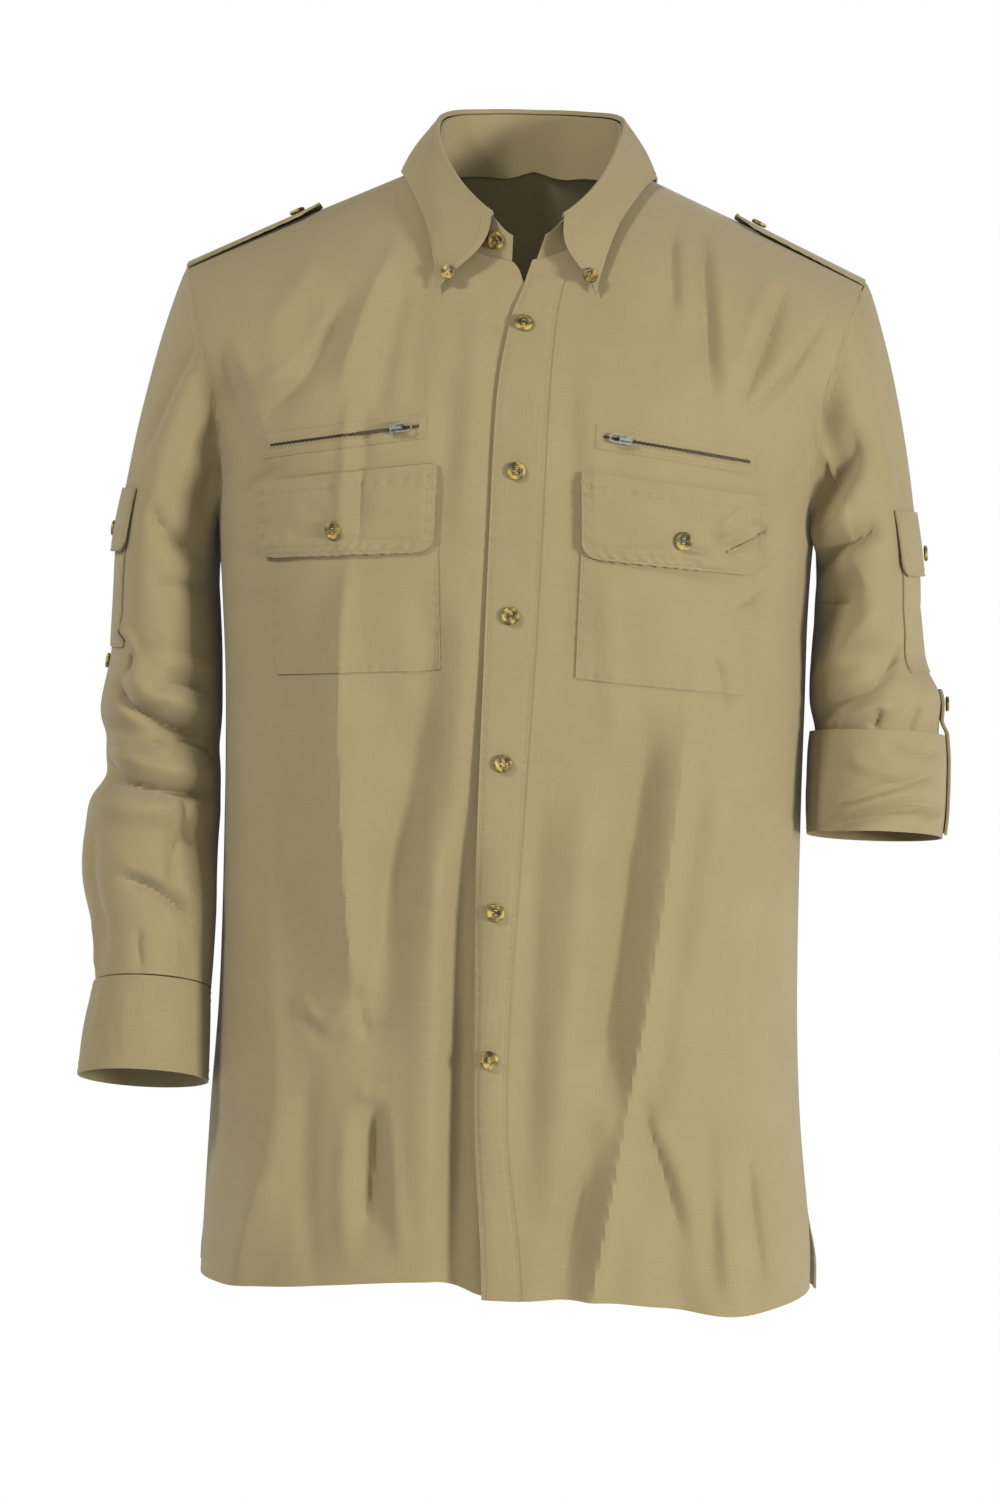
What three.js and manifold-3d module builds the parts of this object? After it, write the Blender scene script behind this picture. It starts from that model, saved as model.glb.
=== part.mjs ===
import * as THREE from 'three';
import { mergeVertices } from 'three/addons/utils/BufferGeometryUtils.js';
import Module from 'manifold-3d';

const wasm = await Module();
wasm.setup();

// Hunting shirt as it hangs when worn: a hollow shell of cloth walls, millimetres, +Z up.
// +X is the wearer's left, -Y is the front. The origin lies between the two points
// where the shoulder seams meet the neck.

// Driving sizes
const CLOTH = 1.2;            // thickness of one cloth wall
const SEAM = 0.2;             // each piece stops this far short of its seam line
const LIFT = 0.9;             // clear height of what lies on a panel
const EDGE_GAP = 1.8;         // the two fronts lie this far apart beside the placket
const ROUND = 75;             // radius of the roll of cloth over the shoulder
const QUARTER = ROUND * Math.PI / 2;
const NECK_HALF = 81;         // half the width of the neck hole
const NECK_Z = 9;             // height of the shoulder ridge at the neck hole
const SLOPE = 0.444;          // fall of the shoulder ridge for each mm outward
const SQUARE = 2.6;           // how square the torso is from above
const UNDERARM_Z = -245;
const YOKE_FRONT = 42;        // tape distance of the front yoke seam from the ridge
const YOKE_BACK_Z = -95;      // height of the back yoke seam
const VENT_TOP = -725;        // side vents open below this height
const VENT_EASE = 50;         // length over which they open
const VENT_SPREAD = 5;        // the back's side edges stand this far out at the vents
const VENT_FRONT = 0.05;      // angle by which each front stops short at its vent
const VENT_BACK = 0.045;      // and the back
const BUTTON_R = 6.3;
const BUTTON_T = 2.6;

// Torso sections: half width, shift of the middle, depth to the front and to the back
const TORSO = [
  { z: 60, half: 285, mid: 0, front: 44, back: 66 },
  { z: 10, half: 282, mid: 0, front: 50, back: 84 },
  { z: -22, half: 279, mid: 0, front: 63, back: 98 },
  { z: -60, half: 275, mid: 0, front: 85, back: 112 },
  { z: -100, half: 265, mid: 0, front: 107, back: 119 },
  { z: -133, half: 255, mid: 0, front: 124, back: 121 },
  { z: -163, half: 232, mid: 0, front: 134, back: 119 },
  { z: -205, half: 217, mid: 0, front: 140, back: 115 },
  { z: -245, half: 213, mid: -1, front: 142, back: 112 },
  { z: -300, half: 209.5, mid: 0, front: 143, back: 112 },
  { z: -361, half: 207.5, mid: 2, front: 145, back: 114 },
  { z: -450, half: 206.5, mid: 3, front: 147, back: 117 },
  { z: -578, half: 207.5, mid: 4, front: 149, back: 121 },
  { z: -662, half: 212, mid: 4.5, front: 151, back: 125 },
  { z: -750, half: 218.5, mid: 8, front: 152, back: 130 },
  { z: -800, half: 220, mid: 8, front: 152, back: 132 },
];

// Armhole: distance out from the middle against tape distance from the shoulder ridge
const ARMHOLE = [
  { tape: 0, out: 243 }, { tape: 48, out: 237 }, { tape: 85, out: 228 },
  { tape: 124, out: 218 }, { tape: 158, out: 210 }, { tape: 201, out: 206.5 },
  { tape: 222, out: 207.5 }, { tape: 240, out: 213 },
];

// Neckline: tape distance from the ridge (front is negative) against the turn from centre front
const NECKLINE = [
  { turn: 0, tape: -151 }, { turn: 30, tape: -116 }, { turn: 60, tape: -63 },
  { turn: 90, tape: 0 }, { turn: 120, tape: 27 }, { turn: 150, tape: 48 },
  { turn: 180, tape: 66 },
];

// Front overlap: both edges of the placket, how far its free edge stands out,
// and how far the neck opens beside it
const OVERLAP = [
  { z: -56, left: 10, right: 37, proud: 0, open: 17 },
  { z: -78, left: 4, right: 31, proud: 0, open: 0 },
  { z: -100, left: -3, right: 28, proud: 0, open: 0 },
  { z: -150, left: -9.5, right: 26, proud: 0, open: 0 },
  { z: -242, left: -11.5, right: 24.5, proud: 0, open: 0 },
  { z: -334, left: -12.3, right: 22.5, proud: 1, open: 0 },
  { z: -475, left: -12.7, right: 17, proud: 5, open: 0 },
  { z: -560, left: -10.5, right: 13.5, proud: 8, open: 0 },
  { z: -660, left: -7.5, right: 14, proud: 9, open: 0 },
  { z: -740, left: -1, right: 25, proud: 8, open: 0 },
  { z: -800, left: 2, right: 30, proud: 8, open: 0 },
];
const OVERLAP_SPREAD = 46;    // width over which the free edge's stand-off fades

// Hem height across the front and across the back
const HEM_FRONT = [
  { x: -212, z: -784 }, { x: -161, z: -779 }, { x: -34, z: -766 }, { x: 7, z: -775 },
  { x: 73, z: -774 }, { x: 126, z: -779 }, { x: 184, z: -786 }, { x: 228, z: -781 },
];
const HEM_BACK = [
  { x: -225, z: -783 }, { x: -110, z: -790 }, { x: 0, z: -793 },
  { x: 110, z: -791 }, { x: 232, z: -787 },
];

const HEM_FRONT_Z = -775;     // mean height of the front hem
const HEM_BACK_Z = -790;      // and of the back hem

// Large folds, each along a line from its top to its bottom; high is out of the body
const FOLDS_FRONT = [
  { x0: -107, z0: -310, x1: -89, z1: -610, wide: 15, high: 7 },
  { x0: -142, z0: -380, x1: -136, z1: -620, wide: 18, high: -4 },
  { x0: -62, z0: -335, x1: -84, z1: -640, wide: 17, high: -9 },
  { x0: -42, z0: -420, x1: -46, z1: -760, wide: 13, high: 4 },
  { x0: -22, z0: -430, x1: -18, z1: -800, wide: 15, high: -9 },
  { x0: -80, z0: -610, x1: -76, z1: -760, wide: 12, high: -6 },
  { x0: -152, z0: -640, x1: -184, z1: -800, wide: 16, high: 7 },
  { x0: -94, z0: -48, x1: -122, z1: -170, wide: 15, high: 6 },
  { x0: -116, z0: -75, x1: -178, z1: -185, wide: 13, high: -6 },
  { x0: -196, z0: -110, x1: -186, z1: -225, wide: 14, high: -5 },
  { x0: 108, z0: -45, x1: 109, z1: -130, wide: 12, high: -3 },
  { x0: 130, z0: -50, x1: 136, z1: -170, wide: 13, high: -4 },
  { x0: 182, z0: -60, x1: 158, z1: -172, wide: 14, high: -6 },
  { x0: 224, z0: -95, x1: 186, z1: -225, wide: 17, high: -9 },
  { x0: 128, z0: -350, x1: 98, z1: -650, wide: 14, high: 7 },
  { x0: 103, z0: -350, x1: 74, z1: -650, wide: 16, high: -8 },
  { x0: 96, z0: -640, x1: 74, z1: -800, wide: 13, high: 6 },
  { x0: 74, z0: -640, x1: 50, z1: -800, wide: 14, high: -6 },
  { x0: 106, z0: -620, x1: 138, z1: -790, wide: 15, high: -6 },
  { x0: 60, z0: -400, x1: 44, z1: -790, wide: 22, high: 6 },
  { x0: 165, z0: -380, x1: 172, z1: -800, wide: 20, high: 6 },
];
const FOLDS_BACK = [
  { x0: -150, z0: -130, x1: -128, z1: -420, wide: 18, high: -7 },
  { x0: -96, z0: -260, x1: -104, z1: -800, wide: 22, high: -8 },
  { x0: -42, z0: -180, x1: -50, z1: -800, wide: 22, high: 7 },
  { x0: 6, z0: -240, x1: 2, z1: -800, wide: 20, high: -8 },
  { x0: 52, z0: -200, x1: 60, z1: -800, wide: 22, high: 7 },
  { x0: 108, z0: -280, x1: 112, z1: -800, wide: 20, high: -9 },
  { x0: 152, z0: -140, x1: 134, z1: -400, wide: 18, high: -6 },
  { x0: -160, z0: -480, x1: -168, z1: -800, wide: 18, high: 6 },
  { x0: 162, z0: -500, x1: 170, z1: -800, wide: 18, high: 6 },
];
const FOLD_FADE = 70;         // length over which a fold rises from nothing at each end

// Sleeve sections: inner and outer edge from the middle, centre depth, half depth, forward tilt
const SLEEVE_RIGHT = [
  { z: -292, inner: 215, outer: 288, y: -4, deep: 74, tilt: 0 },
  { z: -340, inner: 211, outer: 290, y: -6, deep: 68, tilt: 2 },
  { z: -390, inner: 209, outer: 296, y: -10, deep: 63, tilt: 4 },
  { z: -418, inner: 208, outer: 292, y: -14, deep: 60, tilt: 7 },
  { z: -452, inner: 207.5, outer: 300, y: -21, deep: 60, tilt: 10 },
  { z: -500, inner: 207, outer: 303, y: -32, deep: 57, tilt: 13 },
  { z: -545, inner: 206, outer: 292, y: -43, deep: 52, tilt: 14 },
  { z: -578, inner: 206, outer: 288, y: -52, deep: 48, tilt: 15 },
];
const CUFF_RIGHT = [
  { z: -578.7, inner: 206, outer: 289.5, y: -52.3, deep: 47, tilt: 15 },
  { z: -612, inner: 204.5, outer: 295, y: -60, deep: 46, tilt: 15 },
  { z: -643, inner: 204, outer: 297, y: -67, deep: 46, tilt: 15 },
];
const SLEEVE_LEFT = [
  { z: -292, inner: 214, outer: 288, y: -4, deep: 74, tilt: 0 },
  { z: -330, inner: 212.5, outer: 294, y: -7, deep: 68, tilt: 2 },
  { z: -362, inner: 213, outer: 304, y: -12, deep: 66, tilt: 4 },
  { z: -380, inner: 217, outer: 305, y: -16, deep: 60, tilt: 5 },
  { z: -400, inner: 218, outer: 305, y: -19, deep: 58, tilt: 6 },
  { z: -446, inner: 217, outer: 304, y: -26, deep: 56, tilt: 7 },
];
const ROLL_LEFT = [
  { z: -383, inner: 213.4, outer: 310, y: -17, deep: 64, tilt: 5 },
  { z: -400, inner: 212.4, outer: 311.5, y: -20, deep: 65, tilt: 6 },
  { z: -436, inner: 212.2, outer: 311.5, y: -26, deep: 64, tilt: 7 },
  { z: -455, inner: 213.4, outer: 310, y: -29, deep: 61.5, tilt: 7 },
];
const ROLL_WALL = 1.6;
const CUFF_GAP = 2.0;         // the rolled-up cuff lies this far inside the roll's outer face
// Folds on the sleeves: height, turn from the outside towards the front, size
const FOLDS_SLEEVE_RIGHT = [
  { z: -402, turn: 60, tall: 11, span: 75, high: -7 },
  { z: -378, turn: 100, tall: 12, span: 60, high: 4 },
  { z: -432, turn: 20, tall: 12, span: 70, high: -7 },
  { z: -455, turn: 95, tall: 12, span: 70, high: 4 },
  { z: -345, turn: 70, tall: 12, span: 50, high: -4 },
  { z: -410, turn: -120, tall: 14, span: 60, high: -5 },
  { z: -520, turn: 150, tall: 30, span: 30, high: 4 },
];
const FOLDS_SLEEVE_LEFT = [
  { z: -352, turn: 20, tall: 13, span: 70, high: 5 },
  { z: -330, turn: 80, tall: 12, span: 60, high: -4 },
  { z: -310, turn: -110, tall: 14, span: 60, high: -4 },
];

// Small helpers
const lerp = (a, b, t) => a + (b - a) * t;
const clamp = (v, lo, hi) => Math.min(Math.max(v, lo), hi);
const ease = t => { const k = clamp(t, 0, 1); return k * k * (3 - 2 * k); };
const radians = THREE.MathUtils.degToRad;
const vec = (x, y, z) => new THREE.Vector3(x, y, z);

// Smooth reading of a table: the row's values at a place along one column
function reader(rows, key) {
  const up = rows[1][key] > rows[0][key];
  const list = up ? rows : [...rows].reverse();
  const names = Object.keys(list[0]).filter(name => name !== key);
  const slope = (i, name) => {
    const a = list[Math.max(i - 1, 0)];
    const b = list[Math.min(i + 1, list.length - 1)];
    return (b[name] - a[name]) / (b[key] - a[key]);
  };
  return place => {
    const p = clamp(place, list[0][key], list[list.length - 1][key]);
    let i = 0;
    while (i < list.length - 2 && p > list[i + 1][key]) i += 1;
    const step = list[i + 1][key] - list[i][key];
    const t = (p - list[i][key]) / step;
    const result = {};
    for (const name of names) {
      const m0 = slope(i, name) * step;
      const m1 = slope(i + 1, name) * step;
      result[name] = (2 * t ** 3 - 3 * t ** 2 + 1) * list[i][name] + (t ** 3 - 2 * t ** 2 + t) * m0
        + (3 * t ** 2 - 2 * t ** 3) * list[i + 1][name] + (t ** 3 - t ** 2) * m1;
    }
    return result;
  };
}
const torsoAt = reader(TORSO, 'z');
const armholeAt = reader(ARMHOLE, 'tape');
const necklineAt = reader(NECKLINE, 'turn');
const overlapAt = reader(OVERLAP, 'z');
const hemFrontAt = reader(HEM_FRONT, 'x');
const hemBackAt = reader(HEM_BACK, 'x');

// Height of the shoulder ridge, and tape distance down from it and back
const ridgeZ = x => NECK_Z - SLOPE * (Math.abs(x) - NECK_HALF);
const dropOf = tape => tape < QUARTER ? ROUND * (1 - Math.cos(tape / ROUND)) : ROUND + tape - QUARTER;
const tapeOf = (x, z) => {
  const drop = Math.max(ridgeZ(x) - z, 0);
  return drop < ROUND ? ROUND * Math.acos(1 - drop / ROUND) : QUARTER + drop - ROUND;
};

// Sum of the large folds at a place on the front or back
function foldHeight(folds, x, z) {
  let sum = 0;
  for (const f of folds) {
    const t = (z - f.z0) / (f.z1 - f.z0);
    const off = (x - lerp(f.x0, f.x1, t)) / f.wide;
    const length = f.z0 - f.z1;
    const start = ease(t * length / FOLD_FADE);
    const finish = f.z1 <= -790 ? 1 : ease((1 - t) * length / FOLD_FADE);
    sum += f.high * Math.exp(-off * off) * start * finish;
  }
  return sum;
}

// Depth of the torso at a place: side is -1 in front and 1 behind
function depthAt(side, x, z) {
  const row = torsoAt(z);
  const s = Math.min(Math.abs(x - row.mid) / row.half, 1);
  const across = Math.pow(1 - Math.pow(s, SQUARE), 1 / SQUARE);
  const drop = Math.max(ridgeZ(x) - z, 0);
  const over = drop < ROUND ? Math.sqrt(1 - (1 - drop / ROUND) ** 2) : 1;
  const folds = foldHeight(side < 0 ? FOLDS_FRONT : FOLDS_BACK, x, z);
  const base = (side < 0 ? row.front : row.back) * across * over;
  return base + folds * Math.min(across * over * 1.4, 1);
}

// A point of the shell at a height, in front or behind
const shellAt = (side, x, z) => vec(x, side * depthAt(side, x, z), z);

// A point of the shell at a tape distance from the ridge, front negative
function shellAtTape(x, tape) {
  const z = ridgeZ(x) - dropOf(Math.abs(tape));
  return shellAt(tape < 0 ? -1 : 1, x, z);
}

// Forward stand-off of the overlapping front's free edge
function proudAt(x, z) {
  const row = overlapAt(z);
  return row.proud * (1 - ease((x - row.left) / OVERLAP_SPREAD));
}
function frontLeftAt(x, z) {
  const p = shellAt(-1, x, z);
  p.y -= proudAt(x, z);
  return p;
}
const frontRightAt = (x, z) => shellAt(-1, x, z);

// Outward unit normal of a surface given as a function of two values
function normalOf(surface, a, b, step, out) {
  const da = surface(a + step, b).sub(surface(a - step, b));
  const db = surface(a, b + step).sub(surface(a, b - step));
  return da.cross(db).normalize().multiplyScalar(out);
}

// Normals at the points of a grid of rows; the first row may lead on from another piece
function gridNormals(rows, closed, out, startWays) {
  const count = rows[0].length;
  return rows.map((row, j) => row.map((_, i) => {
    const before = closed ? (i + count - 1) % count : Math.max(i - 1, 0);
    const after = closed ? (i + 1) % count : Math.min(i + 1, count - 1);
    const along = row[after].clone().sub(row[before]);
    const next = rows[Math.min(j + 1, rows.length - 1)][i];
    const up = j === 0 && startWays ? startWays[i].clone() : next.clone().sub(rows[Math.max(j - 1, 0)][i]);
    return along.cross(up).normalize().multiplyScalar(out);
  }));
}

// One closed wall of cloth: the rows are its outer face, and the inner face is moved in
function wall(rows, { closed = false, thick = CLOTH, out = 1, startWays } = {}) {
  const count = rows[0].length;
  const normals = gridNormals(rows, closed, out, startWays);
  const positions = [];
  for (const row of rows) for (const p of row) positions.push(p.x, p.y, p.z);
  rows.forEach((row, j) => row.forEach((p, i) => {
    const q = p.clone().addScaledVector(normals[j][i], -thick);
    positions.push(q.x, q.y, q.z);
  }));
  const inner = rows.length * count;
  const faces = [];
  const quad = (a, b, c, d) => faces.push(out > 0 ? [a, b, c, a, c, d] : [a, c, b, a, d, c]);
  const at = (j, i) => j * count + (i % count);
  const last = closed ? count : count - 1;
  for (let j = 0; j < rows.length - 1; j += 1) {
    for (let i = 0; i < last; i += 1) {
      quad(at(j, i), at(j, i + 1), at(j + 1, i + 1), at(j + 1, i));
      quad(inner + at(j + 1, i), inner + at(j + 1, i + 1), inner + at(j, i + 1), inner + at(j, i));
    }
  }
  const top = rows.length - 1;
  for (let i = 0; i < last; i += 1) {
    quad(at(0, i + 1), at(0, i), inner + at(0, i), inner + at(0, i + 1));
    quad(at(top, i), at(top, i + 1), inner + at(top, i + 1), inner + at(top, i));
  }
  if (!closed) {
    for (let j = 0; j < top; j += 1) {
      quad(at(j, 0), at(j + 1, 0), inner + at(j + 1, 0), inner + at(j, 0));
      quad(at(j + 1, last), at(j, last), inner + at(j, last), inner + at(j + 1, last));
    }
  }
  const geometry = new THREE.BufferGeometry();
  geometry.setAttribute('position', new THREE.Float32BufferAttribute(positions, 3));
  geometry.setIndex(faces.flat());
  geometry.computeVertexNormals();
  return geometry;
}

// Rows of a grid over 0..1 by 0..1
function grid(columns, rowsCount, point) {
  const rows = [];
  for (let j = 0; j <= rowsCount; j += 1) {
    const row = [];
    for (let i = 0; i <= columns; i += 1) row.push(point(i / columns, j / rowsCount));
    rows.push(row);
  }
  return rows;
}

// Materials
const cloth = new THREE.MeshStandardMaterial({ color: 0xa2946c, roughness: 0.85, metalness: 0 });
const horn = new THREE.MeshStandardMaterial({ color: 0x9a7b3c, roughness: 0.35, metalness: 0 });
const metal = new THREE.MeshStandardMaterial({ color: 0xc9c9c4, roughness: 0.3, metalness: 1 });
const tape = new THREE.MeshStandardMaterial({ color: 0x5f5840, roughness: 0.6, metalness: 0 });

const group = new THREE.Group();
function add(name, geometry, material = cloth) {
  const mesh = new THREE.Mesh(geometry, material);
  mesh.name = name;
  group.add(mesh);
  return mesh;
}

// Shell panels
const FRONT_COLUMNS = 12;
const NECK_COLUMNS = 3;       // front columns that end on the neckline
const UPPER_ROWS = 7;
const LOWER_ROWS = 15;
const NECK_CORNER = 70;       // turn of the neckline at the front yoke seam
const FRONT_TURN = { right: 4, left: 8 };   // turn of the neckline where each front starts
const neckPoint = turn => ({ x: NECK_HALF * Math.sin(radians(turn)), tape: necklineAt(turn).tape });

// Top edge of a front: along the neckline, then along the yoke seam
function frontTop(u, sign) {
  const k = u * FRONT_COLUMNS;
  if (k <= NECK_COLUMNS) {
    const spot = neckPoint(lerp(FRONT_TURN[sign > 0 ? 'left' : 'right'], NECK_CORNER, k / NECK_COLUMNS));
    return { x: sign * spot.x, tape: spot.tape - SEAM };
  }
  const inner = neckPoint(NECK_CORNER).x;
  const outer = armholeAt(YOKE_FRONT).out;
  const t = (k - NECK_COLUMNS) / (FRONT_COLUMNS - NECK_COLUMNS);
  return { x: sign * lerp(inner, outer, t), tape: -YOKE_FRONT - SEAM };
}

// Inner edge of a front beside the overlap
const innerEdge = (z, sign) => overlapAt(z).left - (sign < 0 ? EDGE_GAP + overlapAt(z).open : 0);

function sideX(z, sign, side) {
  const row = torsoAt(z);
  const spread = side > 0 ? VENT_SPREAD * ease((VENT_TOP - z) / VENT_EASE) : 0;
  return row.mid + sign * (row.half + spread);
}

function frontPoint(sign, u, v) {
  const surface = sign > 0 ? frontLeftAt : frontRightAt;
  const fan = Math.sin(u * Math.PI / 2);
  const lowerX = z => lerp(innerEdge(z, sign), sideX(z, sign, -1), fan);
  if (v <= 0) {
    const bottom = hemFrontAt(lowerX(HEM_FRONT_Z)).z;
    const z = lerp(UNDERARM_Z, bottom, -v);
    const vent = VENT_FRONT * ease((VENT_TOP - z) / VENT_EASE);
    const x = lerp(innerEdge(z, sign), sideX(z, sign, -1), Math.sin(u * (Math.PI / 2 - vent)));
    const p = surface(x, z);
    p.y = Math.min(p.y, -SEAM);
    return p;
  }
  const top = frontTop(u, sign);
  const corner = frontTop(1, sign);
  const baseX = lowerX(UNDERARM_Z);
  const sideTape = lerp(-tapeOf(sideX(UNDERARM_Z, sign, -1), UNDERARM_Z), corner.tape, v);
  const sideStraight = lerp(sideX(UNDERARM_Z, sign, -1), corner.x, v);
  const curve = sign * armholeAt(-sideTape).out - sideStraight;
  const x = lerp(baseX, top.x, v) + u ** 3 * curve;
  const drop = dropOf(lerp(tapeOf(baseX, UNDERARM_Z), -top.tape, v));
  const innerStraight = lerp(innerEdge(UNDERARM_Z, sign), frontTop(0, sign).x, v);
  const edge = (1 - u) ** 4 * (innerEdge(ridgeZ(x) - drop, sign) - innerStraight);
  const p = surface(x + edge, ridgeZ(x + edge) - drop);
  p.y = Math.min(p.y, -SEAM);
  return p;
}
function frontRows(sign) {
  const rows = [];
  for (let j = LOWER_ROWS; j > 0; j -= 1) rows.push(-j / LOWER_ROWS);
  for (let j = 0; j <= UPPER_ROWS; j += 1) rows.push(j / UPPER_ROWS);
  const columns = Array.from({ length: FRONT_COLUMNS + 1 }, (_, i) => i / FRONT_COLUMNS);
  const line = v => columns.map(u => frontPoint(sign, u, v));
  return rows.map(line);
}

const BACK_COLUMNS = 22;
const BACK_SEAM_HALF = 229;   // half length of the back yoke seam
const BACK_UPPER_ROWS = 6;
function backPoint(u, v) {
  const sign = u < 0 ? -1 : 1;
  const fan = Math.sin(Math.abs(u) * Math.PI / 2);
  const mid = torsoAt(UNDERARM_Z).mid;
  const lowerX = z => lerp(torsoAt(z).mid, sideX(z, sign, 1), fan);
  if (v <= 0) {
    const z = lerp(UNDERARM_Z, hemBackAt(lowerX(HEM_BACK_Z)).z, -v);
    const vent = VENT_BACK * ease((VENT_TOP - z) / VENT_EASE);
    const reach = Math.sin(Math.abs(u) * (Math.PI / 2 - vent));
    const row = torsoAt(z);
    const x = lerp(row.mid, sideX(z, sign, 1), reach);
    const inside = lerp(row.mid, row.mid + sign * row.half, reach);
    const p = vec(x, depthAt(1, inside, z), z);
    p.y = Math.max(p.y, SEAM);
    return p;
  }
  const seamX = BACK_SEAM_HALF;
  const topX = sign * lerp(0, seamX, Math.abs(u));
  const baseX = lerp(mid, sideX(UNDERARM_Z, sign, 1), fan);
  const topTape = tapeOf(topX, YOKE_BACK_Z) + SEAM;
  const sideBase = tapeOf(sideX(UNDERARM_Z, sign, 1), UNDERARM_Z);
  const sideTape = lerp(sideBase, tapeOf(seamX, YOKE_BACK_Z) + SEAM, v);
  const sideStraight = lerp(sideX(UNDERARM_Z, sign, 1), sign * seamX, v);
  const curve = sign * armholeAt(sideTape).out - sideStraight;
  const x = lerp(baseX, topX, v) + Math.abs(u) ** 3 * curve;
  const z = ridgeZ(x) - dropOf(lerp(tapeOf(baseX, UNDERARM_Z), topTape, v));
  const p = shellAt(1, x, z);
  p.y = Math.max(p.y, SEAM);
  return p;
}
function backRows() {
  const rows = [];
  for (let j = LOWER_ROWS; j > 0; j -= 1) rows.push(-j / LOWER_ROWS);
  for (let j = 0; j <= BACK_UPPER_ROWS; j += 1) rows.push(j / BACK_UPPER_ROWS);
  const columns = Array.from({ length: BACK_COLUMNS + 1 }, (_, i) => 2 * i / BACK_COLUMNS - 1);
  const line = v => columns.map(s => backPoint(s, v));
  return rows.map(line);
}

// Yoke: columns from the middle of the back out to the armhole, half of it
const YOKE_HALF = [
  { turn: 180 }, { turn: 158 }, { turn: 136 }, { turn: 115 }, { turn: 92 }, { turn: NECK_CORNER },
  { out: 103 }, { out: 130 }, { out: 157 }, { out: 184 }, { out: 211 }, { out: 238 },
];
const YOKE_ROWS = 8;
function yokePoint(column, w) {
  const half = YOKE_HALF[Math.abs(column)];
  const sign = column < 0 ? -1 : 1;
  const isNeck = half.turn !== undefined;
  const spot = isNeck ? neckPoint(half.turn) : { x: half.out, tape: -YOKE_FRONT };
  const last = YOKE_HALF.length - 1;
  const low = BACK_SEAM_HALF * Math.abs(column) / last;
  const startTape = tapeOf(low, YOKE_BACK_Z) - SEAM;
  const endTape = spot.tape + SEAM;
  const run = lerp(startTape, endTape, w);
  const x = Math.abs(column) === last ? armholeAt(Math.abs(run)).out : lerp(low, spot.x, w);
  return shellAtTape(sign * x, run);
}
function yokeRows() {
  const last = YOKE_HALF.length - 1;
  return Array.from({ length: YOKE_ROWS + 1 }, (_, j) => Array.from(
    { length: 2 * last + 1 }, (_, i) => yokePoint(i - last, j / YOKE_ROWS)));
}

const frontRightRows = frontRows(-1);
const frontLeftRows = frontRows(1);
const backPanelRows = backRows();
const yokePanelRows = yokeRows();
add('front_right', wall(frontRightRows, { out: -1 }));
add('front_left', wall(frontLeftRows, { out: 1 }));
add('back', wall(backPanelRows, { out: -1 }));
add('yoke', wall(yokePanelRows, { out: -1 }));

// Armhole loop from the underarm up the front, over the shoulder and down the back,
// with the direction that leads out of the panels
function armholeLoop(sign) {
  const points = [];
  const take = (edge, inside) => {
    const way = edge.clone().sub(inside).normalize();
    points.push({ at: edge.clone().addScaledVector(way, 2 * SEAM + 0.1), way });
  };
  const front = sign > 0 ? frontLeftRows : frontRightRows;
  const backLast = sign > 0 ? BACK_COLUMNS : 0;
  const yokeLast = sign > 0 ? 2 * (YOKE_HALF.length - 1) : 0;
  const under = front[LOWER_ROWS][FRONT_COLUMNS];
  const start = vec(under.x + sign * (2 * SEAM + 0.4), 0, under.z);
  points.push({ at: start, way: vec(sign, 0, -0.4).normalize() });
  for (let j = 1; j <= UPPER_ROWS; j += 1) {
    const row = front[LOWER_ROWS + j];
    take(row[FRONT_COLUMNS], row[FRONT_COLUMNS - 1]);
  }
  for (let j = YOKE_ROWS - 1; j >= 0; j -= 1) {
    take(yokePanelRows[j][yokeLast], yokePanelRows[j][yokeLast - sign]);
  }
  for (let j = BACK_UPPER_ROWS - 1; j >= 1; j -= 1) {
    const row = backPanelRows[LOWER_ROWS + j];
    take(row[backLast], row[backLast - sign]);
  }
  return points;
}

// Turn of each loop point around the sleeve: 180 under the arm, 90 in front, 0 on the outside
function loopTurns(loop) {
  const lengths = loop.map((p, i) => p.at.distanceTo(loop[(i + 1) % loop.length].at));
  const total = lengths.reduce((a, b) => a + b, 0);
  let run = 0;
  return loop.map((_, i) => {
    const turn = 180 - 360 * run / total;
    run += lengths[i];
    return turn;
  });
}

// A point on a sleeve section, with the folds that cross it
function sectionPoint(sign, row, z, turn, folds) {
  const a = radians(turn);
  const half = (row.outer - row.inner) / 2;
  let swell = 0;
  for (const f of folds) {
    const away = Math.abs(((turn - f.turn + 540) % 360) - 180) / f.span;
    swell += f.high * Math.exp(-(((z - f.z) / f.tall) ** 2) - away * away);
  }
  const grow = 1 + swell / Math.max(half, row.deep);
  const x = (row.outer + row.inner) / 2 + half * Math.cos(a) * grow;
  const dy = -row.deep * Math.sin(a) * grow;
  return vec(sign * x, row.y + dy, z - dy * Math.tan(radians(row.tilt)));
}

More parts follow.
